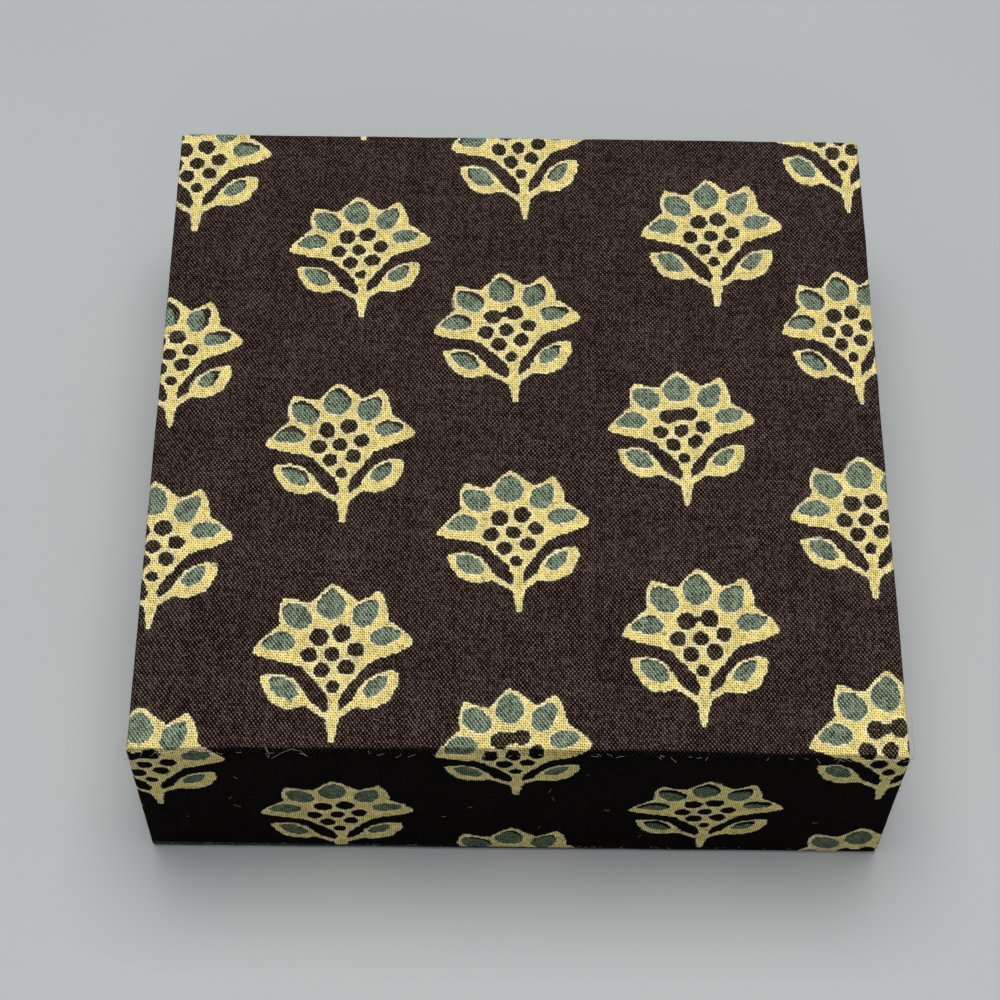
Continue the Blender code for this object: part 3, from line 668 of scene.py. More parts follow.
def printed_cotton(settings):
    """Block print on plain-woven cotton: brown-black ground, cream outlines, teal fillings."""
    cloth = Finish("printed_cotton", 0.8)
    flat = cloth.uv("cloth")
    weave = Weave(
        cloth, flat, settings.warp_pitch / MM, settings.weft_pitch / MM, settings.skew
    )
    blocks = BlockPrint(cloth, flat, weave, settings.wobble / MM)
    painted_shade = PaintedShade(cloth, flat)
    lit_top, flat_top = painted_shade.lit_top, painted_shade.flat_top
    fine = cloth.noise(flat, 5.0, 2.0) - 0.5
    light = weave.light(0.55, 0.16, 0.3, 0.28, 0.8, 0.16) + fine
    shade = light.fade(-1.0, 1.0, 0.0, 2.1)

    # Random wear, and painted shade: on the walls and in the band before the top's front edge the
    # ground drops to 0.08 of the top's
    wear_and_painted_shade = cloth.noise(flat, 0.11, 3.0).fade(0.35, 0.7, 0.9, 1.12) * (lit_top * 0.92 + 0.08)
    # Painted highlight on the crowns of the yarns, where the lamp's sheen falls
    crowns = cloth.math("POWER", (light + 0.42).high(0.0), 1.8).low(1.6) * 0.6
    ground = cloth.tint(cloth.mix(crowns, settings.ground, settings.crown), wear_and_painted_shade)
    # A little of the pale dye's yellow has crept into the ground near it
    ground = cloth.mix(blocks.outline.fade(0.9, 0.1), ground, ground * STAIN)

    # Random depth of the teal dye; painted shade darkens it in the band before the top's front edge,
    # and the walls take the shaded teal
    teal_depth_and_shade = cloth.cloud(flat + blocks.slip * 10.0, 0.6, 3.0, 0.8, 1.15)
    teal_depth_and_shade = teal_depth_and_shade * cloth.between(lit_top, flat_top * -0.6 + 1.0, 1.0)
    teal = cloth.mix(lit_top, settings.shaded_teal, settings.teal)
    teal = cloth.tint(teal, teal_depth_and_shade * shade)

    # Painted light of the weave on the cream: lighter on the yarns' crowns and darker in the holes
    # between them, where shade falls
    holes = weave.light(0.30, 0.06, 0.44, 0.40, 0.6, 0.12) + fine * 1.2
    # Random depth of the cream, with painted shade: 0.85 on the walls and less in the band before
    # the top's front edge
    cream_depth_and_shade = cloth.cloud(flat, 0.5, 2.0, 0.86, 1.06)
    cream_depth_and_shade = cream_depth_and_shade * cloth.between(lit_top, flat_top * -0.5 + 0.85, 1.0)
    cream = cloth.mix(blocks.cream_rim * 0.6, settings.cream, settings.cream_rim)
    cream = cloth.tint(cream, cream_depth_and_shade * holes.fade(-1.0, 0.3, 0.05, 1.22))

    teal_rim = cloth.tint(settings.cream_rim, shade * 0.6)
    pattern = cloth.mix(blocks.teal, ground, teal)
    pattern = cloth.mix(blocks.teal_rim * 0.5, pattern, teal_rim)
    pattern = cloth.mix(blocks.cream, pattern, cream)
    strip = cloth.tint(settings.strip, shade)
    rise = weave.light(0.3, 0.3, 0.3, 0.3, 0.2, 0.1)
    return cloth.finish(
        Base_Color=cloth.mix(painted_shade.above_strip, strip, pattern),
        Normal=cloth.bump(rise + fine, 0.02, 0.5),
        Specular_IOR_Level=0.02,
    )


def pick(piece, kind, wanted):
    """Selects the faces or edges that a test picks, in edit mode, and nothing else."""
    bpy.ops.object.mode_set(mode="EDIT")
    bpy.ops.mesh.select_mode(type=kind)
    bpy.ops.mesh.select_all(action="DESELECT")
    shape = bmesh.from_edit_mesh(piece.data)
    shape.normal_update()
    parts = shape.faces if kind == "FACE" else shape.edges
    for part in parts:
        part.select_set(bool(wanted(part)))
    bmesh.update_edit_mesh(piece.data)


def start_block(name, low, high):
    """A new block between two corners, with its place in its mesh."""
    bpy.ops.object.select_all(action="DESELECT")
    low, high = Vector(low), Vector(high)
    bpy.ops.mesh.primitive_cube_add(size=1.0, location=(low + high) / 2, scale=high - low)
    bpy.ops.object.transform_apply(location=True, rotation=True, scale=True)
    piece = bpy.context.object
    piece.name = name
    piece.data.name = name
    return piece


def rule(piece, axis, places):
    """Cuts the whole piece by planes square to one axis."""
    bpy.ops.object.mode_set(mode="EDIT")
    bpy.ops.mesh.select_mode(type="FACE")
    normal = [0.0, 0.0, 0.0]
    normal[axis] = 1.0
    for place in places:
        point = [0.0, 0.0, 0.0]
        point[axis] = place
        bpy.ops.mesh.select_all(action="SELECT")
        bpy.ops.mesh.bisect(plane_co=point, plane_no=normal)


def even_places(low, high, step):
    count = max(1, round((high - low) / step))
    return [low + (high - low) * i / count for i in range(1, count)]


def apply_modifier(piece, kind, **settings):
    """Adds one modifier and applies it to the mesh."""
    bpy.ops.object.mode_set(mode="OBJECT")
    modifier = piece.modifiers.new(kind.lower(), kind)
    for key, value in settings.items():
        setattr(modifier, key, value)
    bpy.context.view_layer.objects.active = piece
    bpy.ops.object.modifier_apply(modifier=modifier.name)


def alone(piece):
    """Selects one object and nothing else."""
    bpy.ops.object.select_all(action="DESELECT")
    piece.select_set(True)
    bpy.context.view_layer.objects.active = piece


def smooth(piece):
    bpy.ops.object.mode_set(mode="OBJECT")
    alone(piece)
    bpy.ops.object.shade_smooth_by_angle(angle=math.radians(50))


def thicken(piece, thickness):
    """Gives cloth its thickness, inwards from the face that shows."""
    apply_modifier(piece, "SOLIDIFY", thickness=thickness, offset=-1.0, use_even_offset=False)
    smooth(piece)


def round_off(piece, wanted, radius, segments):
    """Rounds the edges that a test picks."""
    pick(piece, "EDGE", wanted)
    bpy.ops.mesh.bevel(offset=radius, segments=segments, affect="EDGES")


def push_out(piece, rise_at):
    """Moves every vertex along its normal by what a function says for its place."""
    vertices = piece.data.vertices
    for vertex, normal in zip(vertices, [vertex.normal.copy() for vertex in vertices]):
        vertex.co = vertex.co + normal * rise_at(vertex.co)


def lay_map(piece, spot_of):
    """Sets the cloth map's place at each face's corners, from the face and the vertex."""
    layer = piece.data.uv_layers[0]
    layer.name = "cloth"
    for face in piece.data.polygons:
        for loop, vertex in zip(face.loop_indices, face.vertices):
            layer.data[loop].uv = spot_of(face, piece.data.vertices[vertex])


def dress(piece, material, body, slot_name, *nodes):
    """Gives a piece its material and its body, if it has one, and hides the parts it stands for."""
    piece.data.materials.clear()
    piece.data.materials.append(material)
    if body:
        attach(piece, body)
    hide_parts(*nodes)
    return piece


class LidCloth:
    """Flat cloth coordinates on a covered lid, in millimetres from the middle of its top."""

    def __init__(self, settings):
        self.half = Vector((LID_HIGH.x, LID_HIGH.y)) / MM
        self.top = LID_HIGH.z / MM
        self.low = LID_FOOT.z / MM
        self.round = settings.corner / MM
        self.rim = settings.rim / MM
        self.wrap = settings.wrap / MM

    def part(self, centre, normal):
        """Which part of the cloth a face is: top, edge, wall, rim or turn-in."""
        out = min(self.half.x - abs(centre.x), self.half.y - abs(centre.y))
        if normal.z < -LEVEL:
            return "rim"
        if out > self.rim - 0.5 and centre.z < self.top - 2 * self.round:
            return "turn"
        if centre.z > self.top - self.round:
            return "top" if normal.z > 0.995 else "edge"
        return "wall"

    def along_front(self, centre):
        """True where a wall's face belongs to the front or back cloth."""
        near_x = self.half.x - abs(centre.x)
        near_y = self.half.y - abs(centre.y)
        return near_y < near_x or near_y < self.wrap

    def down(self, half, out, height, part):
        """Length of cloth from the middle of the top, over the edge and down to a point."""
        level = half - self.round
        if part == "top":
            return out
        if part == "edge":
            turn = math.atan2(max(out - level, 0.0), max(height - self.top + self.round, 1e-6))
            return level + self.round * min(turn, QUARTER)
        wall = level + self.round * QUARTER
        wall_end = wall + self.top - self.round - self.low
        if part == "wall":
            return wall + self.top - self.round - height
        if part == "rim":
            return wall_end + half - out
        return wall_end + self.rim + height - self.low

    def across(self, x, y, part):
        """Place across the front or back cloth, round the corner too."""
        level = self.half.x - self.round
        if abs(x) <= level or part in ("top", "rim", "turn"):
            return x
        beyond = abs(x) - level
        back = abs(y) - (self.half.y - self.round)
        if back > 0:
            reach = level + self.round * math.atan2(beyond, back)
        else:
            reach = level + self.round * QUARTER - back
        return math.copysign(reach, x)

    def flat(self, point, part, front):
        x, y, z = point
        if part == "top":
            return x, y
        if front:
            down = self.down(self.half.y, abs(y), z, part)
            return self.across(x, y, part), math.copysign(down, y)
        return math.copysign(self.down(self.half.x, abs(x), z, part), x), y


def sprig_places():
    """Foot, turn, size, and the teal's slip with the seeds' merging, of every sprig."""
    rng = random.Random(7)
    places = []
    for column in SPRIG_COLUMNS:
        for row in SPRIG_ROWS:
            x = SPRIG_COLUMN * column + rng.uniform(-0.7, 0.7)
            y = SPRIG_FIRST + SPRIG_ROW * (row + 0.5 * (column % 2)) + rng.uniform(-1.0, 1.0)
            turn = rng.uniform(-2.2, 2.2)
            slip = rng.uniform(-0.6, 0.2), rng.uniform(-1.0, 0.0), float(rng.random() < 0.5)
            x, y, turn, wide, high, *slip = SPRIGS.get(
                (column, row), (x, y, turn, SPRIG_SIZE, SPRIG_SIZE, *slip)
            )
            places.append((Vector((x, y)), math.radians(turn), (wide, high), slip))
    return places


def open_side(piece, up, rim, depth):
    """Insets the top or bottom face, and leads the cloth on over the rim and down inside."""
    pick(piece, "FACE", lambda face: face.normal.z * up > 0.9)
    bpy.ops.mesh.inset(thickness=rim)
    if depth:
        bpy.ops.mesh.extrude_region_move(
            TRANSFORM_OT_translate={"value": (0.0, 0.0, -up * depth)}
        )
    bpy.ops.mesh.delete(type="FACE")


def upright_corner(low, high):
    """A test for the edges at a block's four upright corners."""

    def test(edge):
        way = edge.verts[0].co - edge.verts[1].co
        return way.xy.length < TINY and all(
            min(abs(v.co.x - low.x), abs(v.co.x - high.x)) < TINY
            and min(abs(v.co.y - low.y), abs(v.co.y - high.y)) < TINY
            for v in edge.verts
        )

    return test


def level_fold(height):
    """A test for the edges at one height between a level face and an upright one."""

    def test(edge):
        level = all(abs(v.co.z - height) < TINY for v in edge.verts)
        return level and any(abs(face.normal.z) < 0.5 for face in edge.link_faces)

    return test


def print_cloth(piece, settings):
    """Lays the flat cloth and the sprigs over the lid's faces, as two maps and its slip."""
    bpy.ops.object.mode_set(mode="OBJECT")
    mesh = piece.data
    cloth = LidCloth(settings)
    places = sprig_places()
    middles = [
        foot + Matrix.Rotation(turn, 2) @ Vector(SPRIG_MIDDLE) for foot, turn, *_ in places
    ]
    turned = [Matrix.Rotation(-turn, 2) for _, turn, *_ in places]
    mesh.uv_layers.remove(mesh.uv_layers[0])
    cloth_map = mesh.uv_layers.new(name="cloth")
    sprig_map = mesh.uv_layers.new(name="sprig")
    slips = mesh.attributes.new("teal_slip", "FLOAT_VECTOR", "FACE")
    for face in mesh.polygons:
        centre = face.center / MM
        part = cloth.part(centre, face.normal)
        front = cloth.along_front(centre)
        spot = Vector(cloth.flat(centre, part, front))
        nearest = min(range(len(middles)), key=lambda i: (middles[i] - spot).length_squared)
        foot, _, (wide, high), slip = places[nearest]
        slips.data[face.index].vector = slip
        for loop, vertex in zip(face.loop_indices, face.vertices):
            flat = Vector(cloth.flat(mesh.vertices[vertex].co / MM, part, front))
            cloth_map.data[loop].uv = flat
            across, up = turned[nearest] @ (flat - foot)
            sprig_map.data[loop].uv = across / wide, up / high


def lid_shell(settings):
    """The lid's cloth: over the top, down the walls, round the lower edge and up inside."""
    piece = start_block("lid_cloth", LID_FOOT, LID_HIGH)
    open_side(piece, -1, settings.rim, settings.turn_in + HEM * MM)

    def is_outer(edge):
        return all(
            abs(v.co.x) > LID_HIGH.x - TINY and abs(v.co.y) > LID_HIGH.y - TINY
            for v in edge.verts
        )

    round_off(piece, is_outer, settings.corner, 4)
    round_off(piece, level_fold(LID_FOOT.z), FOLD_ROUND, 2)
    step = settings.grid
    side = LID_HIGH.x - settings.corner
    deep = LID_HIGH.y - settings.corner
    seam = LID_HIGH.y - settings.wrap
    rule(piece, 0, even_places(-side, side, step))
    rule(piece, 1, even_places(-deep, deep, step) + [seam, -seam])
    rule(piece, 2, even_places(LID_FOOT.z + ROW_MARGIN, LID_HIGH.z - settings.corner, step))
    print_cloth(piece, settings)
    return piece


def unevenness(point, scale, seed):
    """Smooth noise about zero at a place, with its scale in millimetres."""
    return noise.noise(Vector(point) / (scale * MM) + Vector((seed, seed, seed)))


def settle_cloth(piece):
    """Lets glued cloth lie a little unevenly on its boards, mostly along its edges."""

    def rise_at(point):
        out = min(LID_HIGH.x - abs(point.x), LID_HIGH.y - abs(point.y))
        near_edge = math.exp(-max(out, 0.0) / (3 * MM)) if point.z > LID_HIGH.z - 2 * MM else 0.6
        rise = 0.02 + 0.05 * near_edge
        broad = unevenness(point, 9.0, 3.1)
        fine = unevenness(point, 2.6, 8.7)
        return (broad * 0.6 + fine * 0.4 - 0.55) * rise * 1.6 * MM

    bpy.ops.object.mode_set(mode="OBJECT")
    push_out(piece, rise_at)
    for vertex in piece.data.vertices:
        if vertex.co.z < LID_FOOT.z + 0.35 * MM:
            vertex.co.z -= 0.15 * unevenness(vertex.co, 7.0, 5.3) * MM


class BOX_OT_lid_cloth(bpy.types.Operator):
    """Cover the lid in printed cotton, turned in round its lower edge"""

    bl_idname = "presentation_box.lid_cloth"
    bl_label = "Lid's printed cotton"

    def execute(self, context):
        settings = context.scene.box_cover
        piece = lid_shell(settings)
        settle_cloth(piece)
        thicken(piece, settings.cloth)
        dress(piece, printed_cotton(settings), "lid", "printed_cotton", "lid_cover")
        wall = LID_HIGH.z - LID_FOOT.z + settings.rim + settings.turn_in + HEM * MM
        width = LID_HIGH.x - LID_LOW.x
        cut = width + 2 * wall
        area = width * width + 4 * width * wall
        return {"FINISHED"}


def fibres(finish, spot, along, scale):
    """Noise drawn out along one axis, like pressed fibres."""
    stretch = [1.0, 1.0, 1.0]
    stretch[along] = 0.12
    return finish.noise(spot * tuple(stretch), scale, 3.0, 0.6)


def grey_board(settings):
    board = Finish("grey_board", 0.92)
    spot = board.place()
    cloud = board.cloud(spot, 0.22, 3.0, 0.9, 1.08)
    strand = fibres(board, spot, 0, 2.2).fade(0.35, 0.7, 0.92, 1.06)
    fleck = board.noise(spot, 3.1, 2.0).fade(0.66, 0.72)
    pale = board.noise(spot + (31.0, 7.0, 3.0), 2.6, 2.0).fade(0.69, 0.74)
    shade = board.tint(settings.board, cloud * strand)
    shade = board.mix(fleck * 0.7, shade, (0.13, 0.12, 0.11))
    shade = board.mix(pale * 0.5, shade, (0.55, 0.53, 0.48))
    rise = board.noise(spot, 5.0, 3.0) + strand * 0.5
    return board.finish(
        Base_Color=shade,
        Roughness=cloud.fade(0.85, 1.1, 0.95, 0.85),
        Normal=board.bump(rise, 0.05, 0.6),
        Specular_IOR_Level=0.2,
    )


def gummed_tape(settings):
    tape = Finish("brown_gummed_tape", 0.6)
    spot = tape.place()
    streak = fibres(tape, spot, 2, 3.5).fade(0.3, 0.7, 0.84, 1.1)
    cloud = tape.cloud(spot, 0.4, 2.0, 0.93, 1.06)
    fleck = tape.noise(spot, 4.0, 2.0).fade(0.68, 0.75)
    shade = tape.mix(fleck * 0.4, tape.tint(settings.tape, streak * cloud), (0.16, 0.09, 0.045))
    return tape.finish(
        Base_Color=shade,
        Roughness=streak.fade(0.8, 1.1, 0.66, 0.5),
        Normal=tape.bump(streak + tape.noise(spot, 7.0) * 0.4, 0.03, 0.6),
    )


def lining_paper(settings):
    """Laid paper: chain lines, close laid lines and a few pale fibres."""
    paper = Finish("laid_lining_paper", 0.85)
    spot = paper.place()
    x, y, z = spot.parts()
    laid = paper.math("COSINE", (z + y * 0.7) * (FULL_TURN / LAID_PITCH))
    chain = paper.math("COSINE", (x + y) * (FULL_TURN / CHAIN_PITCH)).fade(0.995, 1.0)
    cloud = paper.cloud(spot, 0.18, 3.0, 0.95, 1.04)
    fibre = paper.noise(spot * (1.0, 0.2, 1.0), 3.0, 3.0, 0.6, 1.5).fade(0.66, 0.72)
    shade = paper.tint(settings.lining, cloud * laid.fade(-1.0, 1.0, 0.975, 1.01))
    shade = paper.mix(fibre * 0.5, shade, (0.74, 0.69, 0.58))
    return paper.finish(
        Base_Color=shade,
        Roughness=fibre.fade(0.0, 1.0, 0.88, 0.75),
        Normal=paper.bump(laid * 0.4 + chain + paper.noise(spot, 6.0), 0.03, 0.5),
        Specular_IOR_Level=0.3,
    )


def foot_paper(settings):
    """Black paper pressed with a leather grain."""
    paper = Finish("black_grained_paper", 0.5)
    spot = paper.place()
    cells = paper.node("TexVoronoi", {"Vector": spot + paper.noise(spot, 0.8, vector=True) * 0.6,
                                      "Scale": 1.1}, feature="DISTANCE_TO_EDGE")
    grain = Signal(paper, cells.outputs["Distance"]).fade(0.0, 0.22)
    rub = paper.noise(spot, 0.12, 4.0).fade(0.5, 0.75) * grain
    shade = paper.mix(rub * 0.25, settings.foot, (0.13, 0.13, 0.13))
    return paper.finish(
        Base_Color=shade,
        Roughness=rub.fade(0.0, 1.0, 0.45, 0.7),
        Normal=paper.bump(grain, 0.08, 0.7),
    )


def pad_card(settings):
    card = Finish("pulp_card", 0.85)
    spot = card.place()
    cloud = card.cloud(spot, 0.3, 3.0, 0.93, 1.05)
    fleck = card.noise(spot, 3.6, 2.0).fade(0.68, 0.74)
    return card.finish(
        Base_Color=card.mix(fleck * 0.5, card.tint(settings.card, cloud), (0.30, 0.27, 0.22)),
        Roughness=cloud.fade(0.9, 1.1, 0.9, 0.8),
        Normal=card.bump(card.noise(spot, 5.0, 3.0), 0.03, 0.6),
        Specular_IOR_Level=0.25,
    )


def foam_cells(settings):
    """Open foam: small round cells between thin walls."""
    foam = Finish("open_foam", 0.95)
    spot = foam.place()
    cells = foam.node("TexVoronoi", {"Vector": spot, "Scale": 2.4})
    cell = Signal(foam, cells.outputs["Distance"]).fade(0.15, 0.55)
    cloud = foam.cloud(spot, 0.3, 2.0, 0.95, 1.03)
    # Painted shade: the colour is darker in the hollows of the cells
    return foam.finish(
        Base_Color=foam.tint(settings.foam, cell.fade(0.0, 1.0, 0.72, 1.02) * cloud),
        Roughness=cell.fade(0.0, 1.0, 1.0, 0.9),
        Normal=foam.bump(cell, 0.12, 0.8),
        Specular_IOR_Level=0.2,
    )


def plain_cotton(settings):
    """Plain-woven cotton, dyed in the yarn."""
    cloth = Finish("plain_teal_cotton", 0.85)
    flat = cloth.uv("cloth")
    pitch = settings.yarn / MM
    weave = Weave(cloth, flat, pitch, pitch * 1.15)
    fine = cloth.noise(flat, 5.0, 2.0) - 0.5
    light = weave.light(0.25, 0.22, 0.22, 0.22, 0.5, 0.25) + fine * 0.6
    cloud = cloth.cloud(flat, 0.1, 3.0, 0.9, 1.1)
    rise = weave.light(0.3, 0.3, 0.3, 0.3, 0.2, 0.2)
    return cloth.finish(
        Base_Color=cloth.tint(settings.dye, light.fade(-1.0, 0.9, 0.25, 1.8) * cloud),
        Roughness=light.fade(-1.0, 1.0, 0.95, 0.75),
        Normal=cloth.bump(rise + fine, 0.03, 0.6),
        Specular_IOR_Level=0.15,
        Sheen_Weight=0.1,
        Sheen_Roughness=0.5,
    )


def velvet(settings):
    """Velvet: close upright pile, brushed into lighter and darker patches."""
    cloth = Finish("teal_velvet", 0.9)
    spot = cloth.place()
    pile = cloth.noise(spot, 6.5, 2.0, 0.7)
    brushed = cloth.noise(spot * (1.0, 0.6, 1.0), 0.055, 1.0, 0.4, 0.3)
    streak = cloth.cloud(spot * (1.0, 0.2, 1.0), 0.9, 2.0, 0.93, 1.06)
    depth = brushed.fade(0.3, 0.7, 0.82, 1.15) * streak * pile.fade(0.25, 0.75, 0.5, 1.35)
    return cloth.finish(
        Base_Color=cloth.tint(settings.velvet, depth),
        Roughness=pile.fade(0.2, 0.8, 1.0, 0.85),
        Normal=cloth.bump(pile + streak, 0.10, 0.7),
        Specular_IOR_Level=0.1,
        Sheen_Weight=0.7,
        Sheen_Roughness=0.35,
        Sheen_Tint=(0.35, 0.62, 0.62, 1.0),
    )


def satin(settings):
    """Satin: long floats that run one way, with a soft gloss along them."""
    cloth = Finish("cream_satin", 0.36)
    flat = cloth.uv("cloth")
    x, y, _ = flat.parts()
    float_row = (y / FLOAT_PITCH).floor()
    start = cloth.grain(cloth.joined(0.5, float_row)) * 3.0
    float_end = (x / FLOAT_LENGTH + start).floor()
    grain = cloth.grain(cloth.joined(float_end, float_row)) - 0.5
    slub = cloth.noise(flat * (0.08, 1.0, 1.0), 2.5, 2.0) - 0.5
    cloud = cloth.cloud(flat, 0.08, 2.0, 0.96, 1.03)
    light = grain * 0.10 + slub * 0.14 + 1.0
    return cloth.finish(
        Base_Color=cloth.tint(settings.satin, light * cloud),
        Roughness=(grain * 0.5 + slub).fade(-0.5, 0.5, 0.44, 0.30),
        Normal=cloth.bump(grain * 0.5 + slub, 0.02, 0.4),
        Sheen_Weight=0.15,
        Sheen_Roughness=0.3,
    )


def ribbed_ribbon(settings):
    """Grosgrain: cords across the ribbon, closed by a plain edge on each side."""
    cloth = Finish("ribbed_ribbon", 0.55)
    flat = cloth.uv("cloth")
    x, y, _ = flat.parts()
    rib = cloth.math("COSINE", y * (FULL_TURN * MM / settings.rib))
    edge = cloth.math("ABSOLUTE", x).fade(*PLAIN_EDGE)
    thread = cloth.math("COSINE", x * (FULL_TURN / RIBBON_THREAD))
    rise = cloth.between(edge, rib, thread * 0.4 + 0.5) + thread * 0.15
    wear = cloth.cloud(flat, 0.5, 3.0, 0.93, 1.05)
    # Painted shade and highlight: the colour is darker in the grooves between the cords and lighter
    # on them
    return cloth.finish(
        Base_Color=cloth.tint(settings.ribbon, rise.fade(-1.1, 1.1, 0.62, 1.08) * wear),
        Roughness=rise.fade(-1.0, 1.0, 0.7, 0.42),
        Normal=cloth.bump(rise, 0.07, 0.8),
        Sheen_Weight=0.15,
        Sheen_Roughness=0.4,
    )


class BOX_OT_boards(bpy.types.Operator):
    """Give the boards, tapes, cards and papers their finishes"""

    bl_idname = "presentation_box.boards"
    bl_label = "Boards and papers"

    def execute(self, context):
        settings = context.scene.box_boards
        finishes = {
            "greyboard": grey_board(settings),
            "gummed_tape": gummed_tape(settings),
            "lining_paper": lining_paper(settings),
            "foot_paper": foot_paper(settings),
            "pad_card": pad_card(settings),
        }
        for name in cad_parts:
            for slot in bpy.data.objects[name].material_slots:
                finish = finishes.get(slot.material.name.split(".")[0])
                if finish is not None:
                    slot.material = finish
        return {"FINISHED"}


def strip_map(piece, settings):
    """Lays the tray's strip of cloth over its faces, as a map in millimetres."""
    half = TRAY_HIGH.x / MM
    side = 2 * half
    low, high = TRAY_LOW.z / MM, TRAY_HIGH.z / MM
    wall = high - low
    rim = settings.rim / MM

    def spot_of(face, vertex):
        centre, normal = face.center, face.normal
        x, y, z = vertex.co / MM
        if abs(centre.x) > abs(centre.y):
            out = half - abs(x)
            outward = normal.x * centre.x
            along = side + y if centre.x > 0 else 3 * side - y
        else:
            out = half - abs(y)
            outward = normal.y * centre.y
            along = x if centre.y < 0 else 2 * side - x
        if normal.z < -LEVEL:
            return along, -out
        if normal.z > LEVEL:
            return along, wall + out
        return along, z - low if outward > 0 else wall + rim + high - z

    lay_map(piece, spot_of)


class BOX_OT_tray_cloth(bpy.types.Operator):
    """Cover the tray in plain cotton, turned in over its rim and under its floor"""

    bl_idname = "presentation_box.tray_cloth"
    bl_label = "Tray's plain cotton"

    def execute(self, context):
        settings = context.scene.box_tray
        piece = start_block("tray_cloth", TRAY_LOW, TRAY_HIGH)
        open_side(piece, 1, settings.rim, settings.turn_in)
        open_side(piece, -1, settings.turn_under, 0.0)
        round_off(piece, upright_corner(TRAY_LOW, TRAY_HIGH), settings.corner, 3)
        for height in (TRAY_LOW.z, TRAY_HIGH.z):
            round_off(piece, level_fold(height), FOLD_ROUND, 2)
        step = settings.grid
        side = TRAY_HIGH.x - settings.corner
        lap_end = side - settings.lap
        rule(piece, 0, even_places(-side, side, step) + [lap_end, lap_end - LAP_STEP])
        rule(piece, 1, even_places(-side, side, step))
        rule(piece, 2, even_places(TRAY_LOW.z + ROW_MARGIN, TRAY_HIGH.z - ROW_MARGIN, step))
        bpy.ops.object.mode_set(mode="OBJECT")
        strip_map(piece, settings)

        def rise_at(point):
            rise = (unevenness(point, 7.0, 5.5) - 0.6) * 0.05 * MM
            if point.y > TRAY_HIGH.y - 1.0 * MM and point.x > lap_end - 0.1 * MM:
                rise += 0.14 * MM
            return rise

        push_out(piece, rise_at)
        thicken(piece, settings.cloth)
        dress(piece, plain_cotton(settings), "tray", "plain_cotton", "base_cover")
        wall = TRAY_HIGH.z - TRAY_LOW.z
        width = settings.turn_under + wall + settings.rim + settings.turn_in
        return {"FINISHED"}


class Pad:
    """A square pad: crowned face, rounded shoulders and sides drawn in between its corners."""

    def __init__(self, low, high, form, up, slit=None):
        self.low, self.high = Vector(low), Vector(high)
        self.crown, self.shoulder, self.corner = (size * MM for size in form)
        self.up = up
        self.slit = slit
        if up > 0:
            self.high.z -= self.crown
        else:
            self.low.z += self.crown

    def face_level(self):
        return self.high.z if self.up > 0 else self.low.z

    def back_level(self):
        return self.low.z if self.up > 0 else self.high.z

    def make(self, name, grid):
        """The pad's closed form, ruled into small faces and crowned."""
        piece = start_block(name, self.low, self.high)
        round_off(piece, upright_corner(self.low, self.high), self.corner, 5)
        round_off(piece, level_fold(self.face_level()), self.shoulder, 4)
        round_off(piece, level_fold(self.back_level()), FOLD_ROUND, 2)
        side = self.high.x - self.corner
        across = even_places(-side, side, grid)
        deep = across
        if self.slit:
            width = self.slit[2]
            deep = [place for place in across if abs(place) > width * 1.6]
            deep += [width * share for share in SLIT_ROWS]
        rule(piece, 0, across)
        rule(piece, 1, deep)
        rule(piece, 2, even_places(self.low.z + 0.5 * MM, self.high.z - self.shoulder, grid))
        bpy.ops.object.mode_set(mode="OBJECT")
        for vertex in piece.data.vertices:
            vertex.co = self.crowned(vertex.co)
        return piece

    def crowned(self, point):
        """Where a point of the block goes on the crowned pad."""
        x, y, z = point
        share_x, share_y = x / self.high.x, y / self.high.y
        raised = 1 - abs(z - self.face_level()) / self.shoulder
        rise = self.crown * (1 - share_x ** 2) * (1 - share_y ** 2) * max(raised, 0.0)
        near_x = max(0.0, 1 - (self.high.x - abs(x)) / DRAWN_REACH)
        near_y = max(0.0, 1 - (self.high.y - abs(y)) / DRAWN_REACH)
        x -= math.copysign(DRAWN_IN * near_x * (1 - share_y ** 2), x)
        y -= math.copysign(DRAWN_IN * near_y * (1 - share_x ** 2), y)
        return Vector((x, y, z + self.up * (rise - self.dip(point) * (raised > 0))))

    def dip(self, point):
        """How far the face goes down into the slit."""
        if not self.slit:
            return 0.0
        length, depth, width = self.slit
        along = min(max((length / 2 - abs(point.x)) / (3 * MM), 0.0), 1.0)
        across = min(max(1 - abs(point.y) / width, 0.0), 1.0)
        return depth * along * across * across * (3 - 2 * across)


def swell(piece, held, reach):
    """Rounds a closed cover by air pressure, with some points held and none going too far."""
    start = [vertex.co.copy() for vertex in piece.data.vertices]
    group = piece.vertex_groups.new(name="held")
    group.add([i for i, point in enumerate(start) if held(point)], 1.0, "REPLACE")
    modifier = piece.modifiers.new("cloth", "CLOTH")
    cloth = modifier.settings
    cloth.vertex_group_mass = group.name
    cloth.use_pressure = True
    cloth.uniform_pressure_force = PRESSURE
    cloth.effector_weights.gravity = 0.0
    scene = bpy.context.scene
    for number in range(1, SWELL_FRAMES + 1):
        scene.frame_set(number)
    swollen = piece.evaluated_get(bpy.context.evaluated_depsgraph_get())
    ends = [vertex.co.copy() for vertex in swollen.data.vertices]
    piece.modifiers.remove(modifier)
    piece.vertex_groups.remove(group)
    scene.frame_set(1)
    for vertex, begin, end in zip(piece.data.vertices, start, ends):
        move = end - begin
        if move.length > reach:
            move = move * (reach / move.length)
        vertex.co = begin + move


